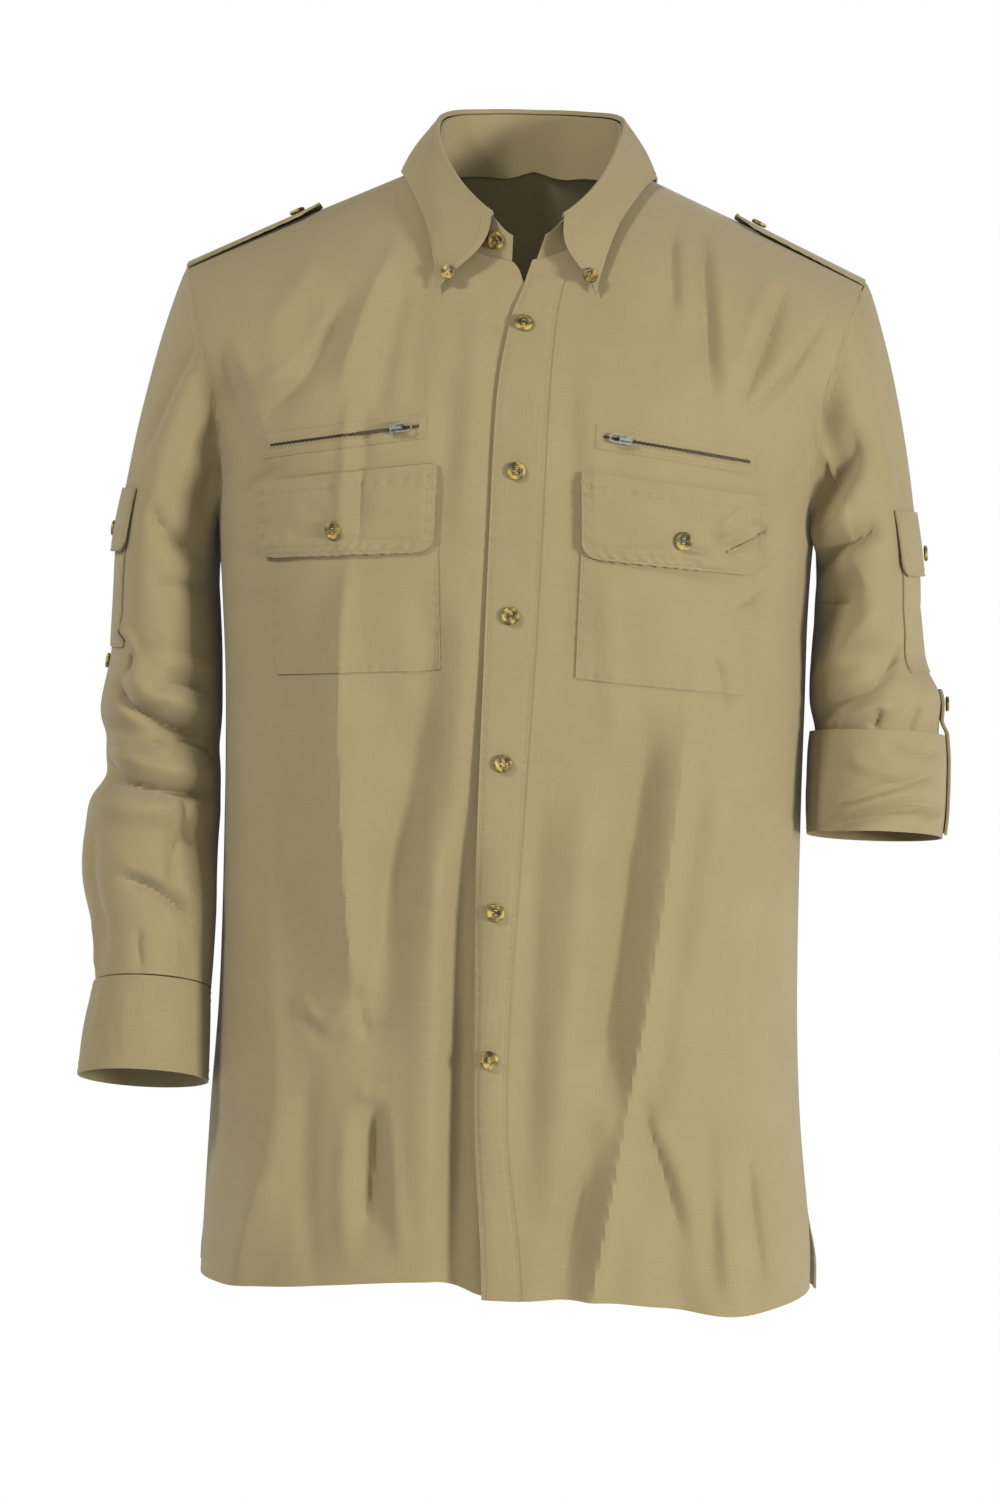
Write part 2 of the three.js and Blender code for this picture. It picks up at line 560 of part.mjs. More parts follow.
const BLEND_ROWS = 7;
function sleeveRows(sign, sections, steps, folds) {
  const loop = armholeLoop(sign);
  const turns = loopTurns(loop);
  const read = reader(sections, 'z');
  const first = sections[0].z;
  const last = sections[sections.length - 1].z;
  const target = turns.map(turn => sectionPoint(sign, read(first), first, turn, folds));
  const rows = [];
  for (let j = 0; j < BLEND_ROWS; j += 1) {
    const t = j / BLEND_ROWS;
    rows.push(loop.map((p, k) => {
      const gap = p.at.distanceTo(target[k]);
      const side = Math.sin(radians(turns[k])) ** 2;
      const c1 = p.at.clone().addScaledVector(p.way, Math.min(7 + 10 * side, gap * 0.3));
      const c2 = target[k].clone().add(vec(0, 0, gap * 0.4));
      return new THREE.CubicBezierCurve3(p.at, c1, c2, target[k]).getPoint(t);
    }));
  }
  for (let j = 0; j <= steps; j += 1) {
    const z = lerp(first, last, j / steps);
    rows.push(turns.map(turn => sectionPoint(sign, read(z), z, turn, folds)));
  }
  return { rows, turns, startWays: loop.map(p => p.way) };
}
const sleeveRight = sleeveRows(-1, SLEEVE_RIGHT, 15, FOLDS_SLEEVE_RIGHT);
const sleeveLeft = sleeveRows(1, SLEEVE_LEFT, 8, FOLDS_SLEEVE_LEFT);
add('sleeve_right', wall(sleeveRight.rows, { closed: true, out: 1, startWays: sleeveRight.startWays }));
add('sleeve_left', wall(sleeveLeft.rows, { closed: true, out: -1, startWays: sleeveLeft.startWays }));

// A plain tube through sleeve-like sections
const TUBE_SIDES = 24;
function tubeRows(sign, sections, steps, inset = 0) {
  const read = reader(sections, 'z');
  const first = sections[0].z;
  const last = sections[sections.length - 1].z;
  return Array.from({ length: steps + 1 }, (_, j) => {
    const z = lerp(first, last, j / steps);
    const row = read(z);
    const set = { ...row, inner: row.inner + inset, outer: row.outer - inset, deep: row.deep - inset };
    const turns = Array.from({ length: TUBE_SIDES }, (_, i) => 180 - 360 * i / TUBE_SIDES);
    return turns.map(turn => sectionPoint(sign, set, z, turn, []));
  });
}
add('cuff_right', wall(tubeRows(-1, CUFF_RIGHT, 3), { closed: true, thick: 1.8, out: 1 }));
add('sleeve_left_roll', wall(tubeRows(1, ROLL_LEFT, 4), { closed: true, thick: ROLL_WALL, out: -1 }));
const cuffLeft = ROLL_LEFT.slice(1, 3);
add('cuff_left', wall(tubeRows(1, cuffLeft, 2, CUFF_GAP), { closed: true, out: -1 }));

// A point of a front, lifted off the cloth
function onFront(sign, x, z, height) {
  const surface = sign > 0 ? frontLeftAt : frontRightAt;
  return surface(x, z).addScaledVector(normalOf(surface, x, z, 3, 1), height);
}

// How far a rounded corner draws the side in, at a distance from the end
function cornerInset(far, radius) {
  return far >= radius ? 0 : radius - Math.sqrt(radius ** 2 - (radius - far) ** 2);
}

// A strip or patch on a front between an inner and an outer edge, bottom to top;
// inner and outer are distances out from the middle
function chestPatch(sign, shape, columns, rowsCount, { round = 0, height = () => 0, thick = CLOTH } = {}) {
  const point = (u, v) => {
    const out = sign > 0 ? u : 1 - u;
    const bottom = lerp(shape.bottomInner, shape.bottomOuter, out);
    const top = lerp(shape.topInner, shape.topOuter, out);
    const tall = v * (top - bottom);
    const inset = cornerInset(tall, round);
    const inner = lerp(shape.innerBottom, shape.innerTop, v) + inset;
    const outer = lerp(shape.outerBottom, shape.outerTop, v) - inset;
    return onFront(sign, sign * lerp(inner, outer, out), bottom + tall, LIFT + thick + height(out, v));
  };
  return wall(grid(columns, rowsCount, point), { thick });
}

// Placket on the wearer's left front, and the button stand behind both fronts
const PLACKET_TOP = -72;
const STAND_BEHIND = 3.0;     // depth of the button stand's outer face behind the fronts
const STAND_UNDER = 9;        // how far the button stand reaches behind the right front
const placketRows = grid(2, 22, (u, v) => {
  const z = lerp(hemFrontAt(7).z, PLACKET_TOP, v);
  const row = overlapAt(z);
  return onFront(1, lerp(row.left + 0.3, row.right, u), z, LIFT + CLOTH);
});
add('placket', wall(placketRows));
const standRows = grid(2, 18, (u, v) => {
  const z = lerp(hemFrontAt(7).z + 2, PLACKET_TOP - 8, v);
  const row = overlapAt(z);
  return onFront(-1, lerp(row.left - STAND_UNDER, row.right - 4, u), z, -STAND_BEHIND);
});
add('button_stand', wall(standRows));

// Pockets, flaps and zips on the chest
const SIDES = [{ name: 'right', sign: -1 }, { name: 'left', sign: 1 }];
const CHEST_POCKET = {
  right: { innerTop: 49, innerBottom: 42, outerTop: 171, outerBottom: 158,
    topInner: -212, topOuter: -226, bottomInner: -344, bottomOuter: -352 },
  left: { innerTop: 53, innerBottom: 51, outerTop: 173, outerBottom: 168,
    topInner: -215, topOuter: -226, bottomInner: -347, bottomOuter: -356 },
};
const CHEST_FLAP = {
  right: { innerTop: 49, innerBottom: 50, outerTop: 176, outerBottom: 171,
    topInner: -203, topOuter: -219, bottomInner: -265, bottomOuter: -271 },
  left: { innerTop: 51, innerBottom: 53, outerTop: 177.5, outerBottom: 175,
    topInner: -206, topOuter: -219, bottomInner: -266, bottomOuter: -273 },
};
const FLAP_ROUND = 12;
const FLAP_RISE = 2.3;        // height of a flap over its pocket
const ZIP = {
  right: { inner: 57, outer: 172, zInner: -177.5, zOuter: -194, slider: 77.5 },
  left: { inner: 59, outer: 169, zInner: -181, zOuter: -195.5, slider: 79.5 },
};
const LIP_HALF = 8.5;
const SLOT_HALF = 1.7;
const SLOT_END = 5;           // closed length of the welt at each end of the slot
const CHAIN_HALF = 1.2;
const ZIP_STEPS = 7;
const zipHeight = (zip, out) => lerp(zip.zInner, zip.zOuter, (out - zip.inner) / (zip.outer - zip.inner));

// The welt round the zip: a flat ring with a slot through it
function zipLips(sign, zip) {
  const loop = (end, half, height) => {
    const from = sign > 0 ? zip.inner + end : zip.outer - end;
    const to = sign > 0 ? zip.outer - end : zip.inner + end;
    const line = [];
    for (const step of [...Array(ZIP_STEPS + 1).keys()]) line.push([lerp(from, to, step / ZIP_STEPS), -half]);
    for (const step of [...Array(ZIP_STEPS + 1).keys()]) line.push([lerp(to, from, step / ZIP_STEPS), half]);
    return line.map(([out, up]) => onFront(sign, sign * out, zipHeight(zip, out) + up, height));
  };
  const height = LIFT + CLOTH;
  const rows = [loop(0, LIP_HALF, height), loop(SLOT_END - 1, SLOT_HALF + 1, height + 0.3),
    loop(SLOT_END, SLOT_HALF, height)];
  return wall(rows, { closed: true });
}
function zipChain(sign, zip) {
  const shape = {
    innerTop: zip.inner + SLOT_END + 0.6, innerBottom: zip.inner + SLOT_END + 0.6,
    outerTop: zip.outer - SLOT_END - 0.6, outerBottom: zip.outer - SLOT_END - 0.6,
    topInner: zipHeight(zip, zip.inner + SLOT_END) + CHAIN_HALF,
    topOuter: zipHeight(zip, zip.outer - SLOT_END) + CHAIN_HALF,
    bottomInner: zipHeight(zip, zip.inner + SLOT_END) - CHAIN_HALF,
    bottomOuter: zipHeight(zip, zip.outer - SLOT_END) - CHAIN_HALF,
  };
  return chestPatch(sign, shape, ZIP_STEPS, 1);
}

// A closed three.js mesh as a solid, and back
function solid(geometry) {
  geometry.deleteAttribute('normal');
  geometry.deleteAttribute('uv');
  const merged = mergeVertices(geometry);
  return new wasm.Manifold(new wasm.Mesh({
    numProp: 3, vertProperties: merged.attributes.position.array, triVerts: merged.index.array,
  }));
}
function geometryOf(manifold) {
  const mesh = manifold.getMesh();
  const geometry = new THREE.BufferGeometry();
  geometry.setAttribute('position', new THREE.Float32BufferAttribute(mesh.vertProperties, 3));
  geometry.setIndex([...mesh.triVerts]);
  geometry.computeVertexNormals();
  return geometry;
}

// Zip slider: a base plate with an arch over it; x runs along the zip, z out of the cloth
const BASE = { long: 9, wide: 6.6, high: 1.5 };
const ARCH = { long: 8, wide: 2, high: 0.8, top: 4 };
const POST = 1.2;
const BAR_HEIGHT = 2.35;      // height of the ring pull's bar above the base plate's underside
const SLIDER_LIFT = 2.6;
function block(long, wide, high, x, z) {
  const box = new THREE.BoxGeometry(long, wide, high);
  box.translate(x, 0, z + high / 2);
  return solid(box);
}
function sliderGeometry() {
  const rise = ARCH.top - ARCH.high - BASE.high;
  const foot = (ARCH.long - POST) / 2;
  return geometryOf(block(BASE.long, BASE.wide, BASE.high, 0, 0)
    .add(block(POST, ARCH.wide, rise + 0.2, foot, BASE.high - 0.1))
    .add(block(POST, ARCH.wide, rise + 0.2, -foot, BASE.high - 0.1))
    .add(block(ARCH.long, ARCH.wide, ARCH.high, 0, ARCH.top - ARCH.high)));
}

// Ring pull: a flat loop whose bar passes under the arch; its bar is at the origin
const PULL = { half: 3.3, wire: 0.9, rim: 1.1, long: 11.5 };
function pullGeometry() {
  const outline = new THREE.Shape();
  const back = -PULL.wire / 2;
  const turn = PULL.long - PULL.half;
  outline.moveTo(back, -PULL.half);
  outline.lineTo(turn, -PULL.half);
  outline.absarc(turn, 0, PULL.half, -Math.PI / 2, Math.PI / 2, false);
  outline.lineTo(back, PULL.half);
  outline.closePath();
  const hole = new THREE.Path();
  const inner = PULL.half - PULL.rim;
  hole.moveTo(-back, -inner);
  hole.lineTo(-back, inner);
  hole.lineTo(turn, inner);
  hole.absarc(turn, 0, inner, Math.PI / 2, -Math.PI / 2, true);
  hole.closePath();
  outline.holes.push(hole);
  const options = { depth: PULL.wire, bevelEnabled: false, curveSegments: 8 };
  const plate = new THREE.ExtrudeGeometry(outline, options);
  plate.translate(0, 0, -PULL.wire / 2);
  return plate;
}

// Place on a front: x along the cloth (towards the centre where turned), z out of it
function frontFrame(sign, x, z, height, slope, turned) {
  const surface = sign > 0 ? frontLeftAt : frontRightAt;
  const outward = normalOf(surface, x, z, 3, 1);
  const along = surface(x + 3, z + 3 * slope).sub(surface(x - 3, z - 3 * slope)).normalize();
  if (turned) along.negate();
  along.addScaledVector(outward, -along.dot(outward)).normalize();
  const across = outward.clone().cross(along);
  const frame = new THREE.Matrix4().makeBasis(along, across, outward);
  return frame.setPosition(onFront(sign, x, z, height));
}

// Buttons: a turned disc with a raised rim
const button = new THREE.LatheGeometry([
  new THREE.Vector2(0, 0), new THREE.Vector2(BUTTON_R, 0), new THREE.Vector2(BUTTON_R, 1.8),
  new THREE.Vector2(BUTTON_R - 1.2, BUTTON_T), new THREE.Vector2(0, BUTTON_T - 0.5),
], 12).rotateX(Math.PI / 2);
const SMALL_BUTTON = 0.9;
const TINY_BUTTON = 0.85;
function addButton(name, frame, size = 1) {
  add(name, button.clone().scale(size, size, 1), horn).applyMatrix4(frame);
}
function addFrontButton(name, sign, x, z, height) {
  addButton(name, frontFrame(sign, x, z, height, 0, false));
}

const FLAP_BUTTON = { right: { x: -116.3, z: -251 }, left: { x: 119.4, z: -251 } };
const FLAP_PUFF = 1.6;        // extra rise of a flap in its middle, at the foot
const FLAP_BUTTON_LIFT = 1.5;
for (const { name, sign } of SIDES) {
  const zip = ZIP[name];
  const slope = sign * (zip.zOuter - zip.zInner) / (zip.outer - zip.inner);
  add(`pocket_${name}`, chestPatch(sign, CHEST_POCKET[name], 7, 6));
  const puff = (out, v) => FLAP_RISE + FLAP_PUFF * (1 - v) * Math.sin(Math.PI * out);
  add(`pocket_flap_${name}`, chestPatch(sign, CHEST_FLAP[name], 8, 5, { round: FLAP_ROUND, height: puff }));
  add(`zip_lips_${name}`, zipLips(sign, zip));
  add(`zip_chain_${name}`, zipChain(sign, zip), tape);
  const z = zipHeight(zip, zip.slider);
  const frame = frontFrame(sign, sign * zip.slider, z, SLIDER_LIFT, slope, sign > 0);
  add(`zip_slider_${name}`, sliderGeometry(), metal).applyMatrix4(frame);
  const hinge = frontFrame(sign, sign * zip.slider, z, SLIDER_LIFT + BAR_HEIGHT, slope, sign > 0);
  add(`zip_pull_${name}`, pullGeometry(), metal).applyMatrix4(hinge);
  const spot = FLAP_BUTTON[name];
  const high = LIFT + CLOTH + FLAP_RISE + FLAP_BUTTON_LIFT;
  addFrontButton(`flap_button_${name}`, sign, spot.x, spot.z, high);
}

const PLACKET_BUTTONS = [
  { x: 6, z: -105 }, { x: 6, z: -207 }, { x: 5.3, z: -306 },
  { x: 3.5, z: -407 }, { x: 2, z: -509 }, { x: 1, z: -610 },
];
PLACKET_BUTTONS.forEach((spot, i) => {
  addFrontButton(`placket_button_${i + 1}`, 1, spot.x, spot.z, LIFT + CLOTH + 0.4);
});

// Place on a surface given by two values: z out of it
function frameOn(surface, a, b, height, out) {
  const outward = normalOf(surface, a, b, 0.02, out);
  const along = surface(a + 0.02, b).sub(surface(a - 0.02, b)).normalize();
  const across = outward.clone().cross(along);
  const at = surface(a, b).addScaledVector(outward, height);
  return new THREE.Matrix4().makeBasis(along, across, outward).setPosition(at);
}

// Collar: the roll line, where the collar turns over the top of its stand
const ROLL_LINE = [
  { turn: 0, out: 5, y: -85, z: -33 }, { turn: 15, out: 24, y: -79, z: -26 },
  { turn: 35, out: 44, y: -58, z: -6 }, { turn: 60, out: 58, y: -30, z: 19 },
  { turn: 90, out: 64.5, y: 3, z: 44 }, { turn: 120, out: 58, y: 35, z: 55 },
  { turn: 150, out: 33, y: 55, z: 59 }, { turn: 165, out: 17.5, y: 60, z: 60 },
  { turn: 180, out: 0, y: 61, z: 60 },
];
// Outer edge of the collar: a place on the shell and the height above it
const COLLAR_EDGE = [
  { turn: 15, out: 55, tape: -147, up: 4.5 }, { turn: 24, out: 59, tape: -126, up: 5.5 },
  { turn: 40, out: 67, tape: -94, up: 6 }, { turn: 60, out: 80, tape: -56, up: 5 },
  { turn: 85, out: 90, tape: -12, up: 3.5 }, { turn: 120, out: 84, tape: 36, up: 3.5 },
  { turn: 150, out: 50, tape: 58, up: 3.5 }, { turn: 180, out: 0, tape: 74, up: 3.5 },
];
const rollAt = reader(ROLL_LINE, 'turn');
const collarEdgeAt = reader(COLLAR_EDGE, 'turn');
const COLLAR_END = 15;        // turn of the collar's front ends
const STAND_END = { right: 4, left: 8 };
const STAND_END_TOP = 0.25;   // share of its height that the stand's rounded end loses at the top
const STAND_END_FOOT = 0.1;   // and at the foot
const STAND_TOP = 3.2;        // the stand ends this far below the roll line
const STAND_INSIDE = 3.2;     // the foot of the stand lies this far inside the neckline
const NECK_MIDDLE_Y = -8;
const ROLL_SHIFT = 5;         // the front of the collar sits this far to the wearer's left
const ROLL_SHIFT_END = 80;    // turn at which that shift has faded
const STAND_ROUND = 0.07;     // share of the stand's half over which its end is rounded
const awayFromNeck = p => vec(p.x, p.y - NECK_MIDDLE_Y, 0).normalize();
const rollPoint = (sign, turn) => {
  const row = rollAt(turn);
  return vec(sign * row.out + ROLL_SHIFT * (1 - ease(turn / ROLL_SHIFT_END)), row.y, row.z);
};
function standPoint(u, v) {
  const s = 2 * u - 1;
  const sign = s < 0 ? -1 : 1;
  const turn = lerp(180, sign < 0 ? STAND_END.right : STAND_END.left, Math.abs(s));
  const spot = neckPoint(turn);
  const foot = shellAtTape(sign * spot.x, spot.tape);
  foot.addScaledVector(awayFromNeck(foot), -STAND_INSIDE);
  foot.z += 1;
  const top = rollPoint(sign, turn);
  top.z -= STAND_TOP;
  const end = ease((Math.abs(s) - 1 + STAND_ROUND) / STAND_ROUND);
  return foot.lerp(top, lerp(STAND_END_FOOT * end, 1 - STAND_END_TOP * end, v));
}
add('collar_stand', wall(grid(26, 3, standPoint), { out: -1 }));

// Cross-section of the collar: over the roll, then down to its outer edge
const COLLAR_ROLL = [
  { away: 0.3, up: -2 }, { away: 1, up: 0.6 }, { away: 3, up: 1 }, { away: 5, up: -1.5 },
];
const COLLAR_FALL_ROWS = 4;
const COLLAR_BULGE = 3;
const COLLAR_CURVE = 9;       // turn by which the front edges bow forward at their middle
function collarPoint(u, v) {
  const s = 2 * u - 1;
  const sign = s < 0 ? -1 : 1;
  const j = v * (COLLAR_ROLL.length - 1 + COLLAR_FALL_ROWS);
  const t = clamp((j - COLLAR_ROLL.length + 1) / COLLAR_FALL_ROWS, 0, 1);
  const turn = lerp(180, COLLAR_END - COLLAR_CURVE * Math.sin(Math.PI * t), Math.abs(s));
  const top = rollPoint(sign, turn);
  const away = awayFromNeck(top);
  if (j < COLLAR_ROLL.length - 0.5) {
    const step = COLLAR_ROLL[Math.round(j)];
    return top.addScaledVector(away, step.away).add(vec(0, 0, step.up));
  }
  const start = COLLAR_ROLL[COLLAR_ROLL.length - 1];
  top.addScaledVector(away, start.away).add(vec(0, 0, start.up));
  const row = collarEdgeAt(turn);
  const edge = shellAtTape(sign * row.out, row.tape);
  edge.addScaledVector(normalOf(shellAtTape, sign * row.out, row.tape, 3, 1), row.up);
  return top.lerp(edge, t).addScaledVector(away, COLLAR_BULGE * Math.sin(Math.PI * t));
}
add('collar', wall(grid(28, COLLAR_ROLL.length - 1 + COLLAR_FALL_ROWS, collarPoint), { out: 1 }));

// Buttons of the neck: one on the end of the stand, one on each collar point
const STAND_BUTTON = { across: 0.024, up: 0.5, high: 0.5 };
const neckButton = frameOn(standPoint, STAND_BUTTON.across, STAND_BUTTON.up, STAND_BUTTON.high, -1);
addButton('stand_button', neckButton);
const COLLAR_BUTTON = { right: 0.011, left: 0.989, down: 0.874, high: 0.5 };
for (const { name } of SIDES) {
  const spot = frameOn(collarPoint, COLLAR_BUTTON[name], COLLAR_BUTTON.down, COLLAR_BUTTON.high, 1);
  addButton(`collar_button_${name}`, spot, TINY_BUTTON);
}

// Epaulettes: straps from the armhole towards the neck, over the ridge
const EPAULETTE = { outer: 241, inner: 147, front: -27, back: 12, point: 14, narrow: 0.3 };
// Clear height of its front edge at both ends, and of its back edge
const EPAULETTE_RISE = { inner: 4.5, outer: 1.4, back: 1 };
const EPAULETTE_BUTTON = { along: 0.17, across: 0.5, high: 0.9 };
function epaulettePoint(sign, u, v) {
  const out = lerp(EPAULETTE.inner, EPAULETTE.outer, sign > 0 ? u : 1 - u);
  const width = EPAULETTE.back - EPAULETTE.front;
  const inset = Math.max(0, 1 - (out - EPAULETTE.inner) / EPAULETTE.point) * width * EPAULETTE.narrow;
  const run = lerp(EPAULETTE.front + inset, EPAULETTE.back - inset, v);
  const along = (out - EPAULETTE.inner) / (EPAULETTE.outer - EPAULETTE.inner);
  const rise = lerp(lerp(EPAULETTE_RISE.inner, EPAULETTE_RISE.outer, along), EPAULETTE_RISE.back, ease(v));
  const x = sign * out;
  const normal = normalOf(shellAtTape, x, run, 3, 1);
  return shellAtTape(x, run).addScaledVector(normal, rise + CLOTH);
}
for (const { name, sign } of SIDES) {
  add(`epaulette_${name}`, wall(grid(7, 4, (u, v) => epaulettePoint(sign, u, v)), { thick: 1.6 }));
  const u = sign > 0 ? EPAULETTE_BUTTON.along : 1 - EPAULETTE_BUTTON.along;
  const strap = (a, b) => epaulettePoint(sign, a, b);
  const spot = frameOn(strap, u, EPAULETTE_BUTTON.across, EPAULETTE_BUTTON.high, 1);
  addButton(`epaulette_button_${name}`, spot, SMALL_BUTTON);
}

// Patches on a sleeve are read off its own rows: a place between columns and rows
function sleeveSampler(sleeve, out) {
  const { rows, turns } = sleeve;
  const count = turns.length;
  const columnOf = turn => {
    let k = 0;
    while (k < count - 1 && turns[k + 1] > turn) k += 1;
    const next = k + 1 < count ? turns[k + 1] : -180;
    return k + (turns[k] - turn) / (turns[k] - next);
  };
  const mix = (j, column) => {
    const k = Math.floor(column) % count;
    return rows[j][k].clone().lerp(rows[j][(k + 1) % count], column - Math.floor(column));
  };
  const at = (column, place) => {
    const j = Math.min(Math.floor(place), rows.length - 2);
    return mix(j, column).lerp(mix(j + 1, column), place - j);
  };
  const placeOf = (column, z) => {
    let j = 0;
    while (j < rows.length - 2 && mix(j + 1, column).z > z) j += 1;
    const high = mix(j, column).z;
    const low = mix(j + 1, column).z;
    return j + clamp((high - z) / (high - low), 0, 1);
  };
  const surface = (turn, z) => {
    const column = columnOf(turn);
    return at(column, placeOf(column, z));
  };
  const lifted = (turn, z, height) => {
    const across = surface(turn + 4, z).sub(surface(turn - 4, z));
    const down = surface(turn, z - 6).sub(surface(turn, z + 6));
    const normal = across.cross(down).normalize().multiplyScalar(out);
    return surface(turn, z).addScaledVector(normal, height);
  };
  return { surface, lifted };
}
const samplers = {
  right: sleeveSampler(sleeveRight, -1),
  left: sleeveSampler(sleeveLeft, 1),
};

// Sleeve pocket and flap: turn of the front and back edges, top and bottom heights
const SLEEVE_POCKET = { front: 50, back: -58, top: -236, bottom: -338, rows: 5, columns: 7 };
const SLEEVE_FLAP = { front: 54, back: -62, top: -225, bottom: -270, rows: 3, columns: 8 };
const SLEEVE_LIFT = 1.9;
const SLEEVE_FLAP_RISE = 3;
const SLEEVE_FLAP_ROUND = 10;
const TURN_PER_MM = 0.8;      // turn that one millimetre round the sleeve takes up
function sleevePatch(name, shape, rise, round) {
  const sign = name === 'right' ? -1 : 1;
  const point = (u, v) => {
    const tall = (shape.top - shape.bottom) * (1 - v);
    const inset = cornerInset(tall, round) * TURN_PER_MM;
    const turn = lerp(shape.front - inset, shape.back + inset, u);
    const z = lerp(shape.top, shape.bottom, v);
    return samplers[name].lifted(turn, z, SLEEVE_LIFT + CLOTH + rise * (0.5 + 0.5 * v));
  };
  return wall(grid(shape.columns, shape.rows, point), { out: sign > 0 ? -1 : 1 });
}
// Place on a sleeve: turn and height, in hundreds so that one small step suits both
function sleeveFrame(name, turn, z, high) {
  const sampler = samplers[name];
  const surface = (a, b) => sampler.lifted(a * 100, b * 100, high);
  return frameOn(surface, turn / 100, z / 100, 0, name === 'right' ? 1 : -1);
}
const SLEEVE_FLAP_BUTTON = { turn: -2, z: -254 };
for (const { name } of SIDES) {
  add(`sleeve_pocket_${name}`, sleevePatch(name, SLEEVE_POCKET, 0, 0));
  add(`sleeve_flap_${name}`, sleevePatch(name, SLEEVE_FLAP, SLEEVE_FLAP_RISE, SLEEVE_FLAP_ROUND));
  const high = SLEEVE_LIFT + CLOTH + SLEEVE_FLAP_RISE;
  const spot = sleeveFrame(name, SLEEVE_FLAP_BUTTON.turn, SLEEVE_FLAP_BUTTON.z, high);
  addButton(`sleeve_flap_button_${name}`, spot, SMALL_BUTTON);
}

// Roll tab on the left sleeve: a strap from inside the roll up over it to its button
const TAB = { top: -350, bottom: -452, half: 12, over: 1.6, steps: 9, thick: 1.4 };
const TAB_START = 12;         // the tab leaves the sleeve over this height above the roll
const TAB_FOOT = 2;           // clear height of its upper end
const TAB_CURVE = 110;        // it bends round the sleeve with twice this radius
const TAB_BUTTON = { across: 0.5, up: 0.9, high: 0.5 };
const SPARE_BUTTON = { turn: 2, z: -349, high: 1.2 };
const rollLeftAt = reader(ROLL_LEFT, 'z');
function tabPoint(u, v) {
  const z = lerp(TAB.bottom, TAB.top, v);
  const roll = rollLeftAt(z);
  const onRoll = ease((ROLL_LEFT[0].z + TAB_START - z) / TAB_START);
  const low = samplers.left.surface(0, z);
  const x = lerp(low.x + TAB_FOOT, roll.outer + TAB.over, onRoll) + CLOTH;
  const dy = lerp(-TAB.half, TAB.half, u);
  return vec(x - dy * dy / TAB_CURVE, lerp(low.y, roll.y, onRoll) + dy, z);
}
add('roll_tab_left', wall(grid(2, TAB.steps, tabPoint), { thick: TAB.thick }));
const tabButton = frameOn(tabPoint, TAB_BUTTON.across, TAB_BUTTON.up, TAB_BUTTON.high, 1);
addButton('roll_button_left', tabButton, TINY_BUTTON);
const spareButton = sleeveFrame('right', SPARE_BUTTON.turn, SPARE_BUTTON.z, SPARE_BUTTON.high);
addButton('roll_button_right', spareButton, TINY_BUTTON);

// Cuff button on the side of the right wrist
const cuffRightAt = reader(CUFF_RIGHT, 'z');
const CUFF_BUTTON = { turn: -75, z: -610, high: 0.8 };
const cuffSurface = (a, b) => sectionPoint(-1, cuffRightAt(b * 100), b * 100, a * 100, []);
const cuffButton = frameOn(cuffSurface, CUFF_BUTTON.turn / 100, CUFF_BUTTON.z / 100, CUFF_BUTTON.high, 1);
addButton('cuff_button_right', cuffButton, SMALL_BUTTON);

export default group;
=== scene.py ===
import math
from functools import partial

import bpy
import numpy as np
from mathutils import Matrix, Vector


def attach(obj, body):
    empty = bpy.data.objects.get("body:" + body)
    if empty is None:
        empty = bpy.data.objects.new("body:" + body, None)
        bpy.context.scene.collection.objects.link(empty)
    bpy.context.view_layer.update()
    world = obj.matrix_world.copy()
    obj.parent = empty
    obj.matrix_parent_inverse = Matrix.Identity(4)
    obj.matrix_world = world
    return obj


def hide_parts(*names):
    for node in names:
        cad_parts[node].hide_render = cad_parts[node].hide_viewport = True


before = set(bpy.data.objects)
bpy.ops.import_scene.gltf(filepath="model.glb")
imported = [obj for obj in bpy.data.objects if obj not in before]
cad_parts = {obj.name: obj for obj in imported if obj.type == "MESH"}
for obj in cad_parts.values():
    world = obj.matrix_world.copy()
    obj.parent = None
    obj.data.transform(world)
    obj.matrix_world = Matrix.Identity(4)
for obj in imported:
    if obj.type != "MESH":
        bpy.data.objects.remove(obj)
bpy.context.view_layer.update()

# Hunting shirt, worn and filled out. Tables and sizes are millimetres in the frame's axes:
# +X is the wearer's left, -Y the front, +Z up. Meshes are made in metres.
MM = 0.001
CLOTH = 0.9          # thickness of one layer of cloth
SEAM = 0.05          # each panel stops this far short of its seam line
ROUND = 75.0         # radius of the roll of cloth over the shoulder
QUARTER = ROUND * math.pi / 2
NECK_HALF = 81.0
NECK_Z = 9.0
SLOPE = 0.444
SQUARE = 2.6
UNDERARM_Z = -245.0
YOKE_FRONT = 42.0
YOKE_BACK_Z = -95.0
VENT_TOP = -725.0
VENT_FADE = 50.0     # a vent opens over this height
VENT_SPREAD = 5.0    # the back stands out this far at its vents
BACK_SEAM_HALF = 229.0
NECK_CORNER = 70.0
SIDES = (("right", -1), ("left", 1))
BODY = "shirt"


def table(columns, *rows):
    """Rows of numbers under named columns, sorted by the first column."""
    names = columns.split()
    values = np.array(sorted(rows), dtype=float)
    return {name: values[:, i] for i, name in enumerate(names)}


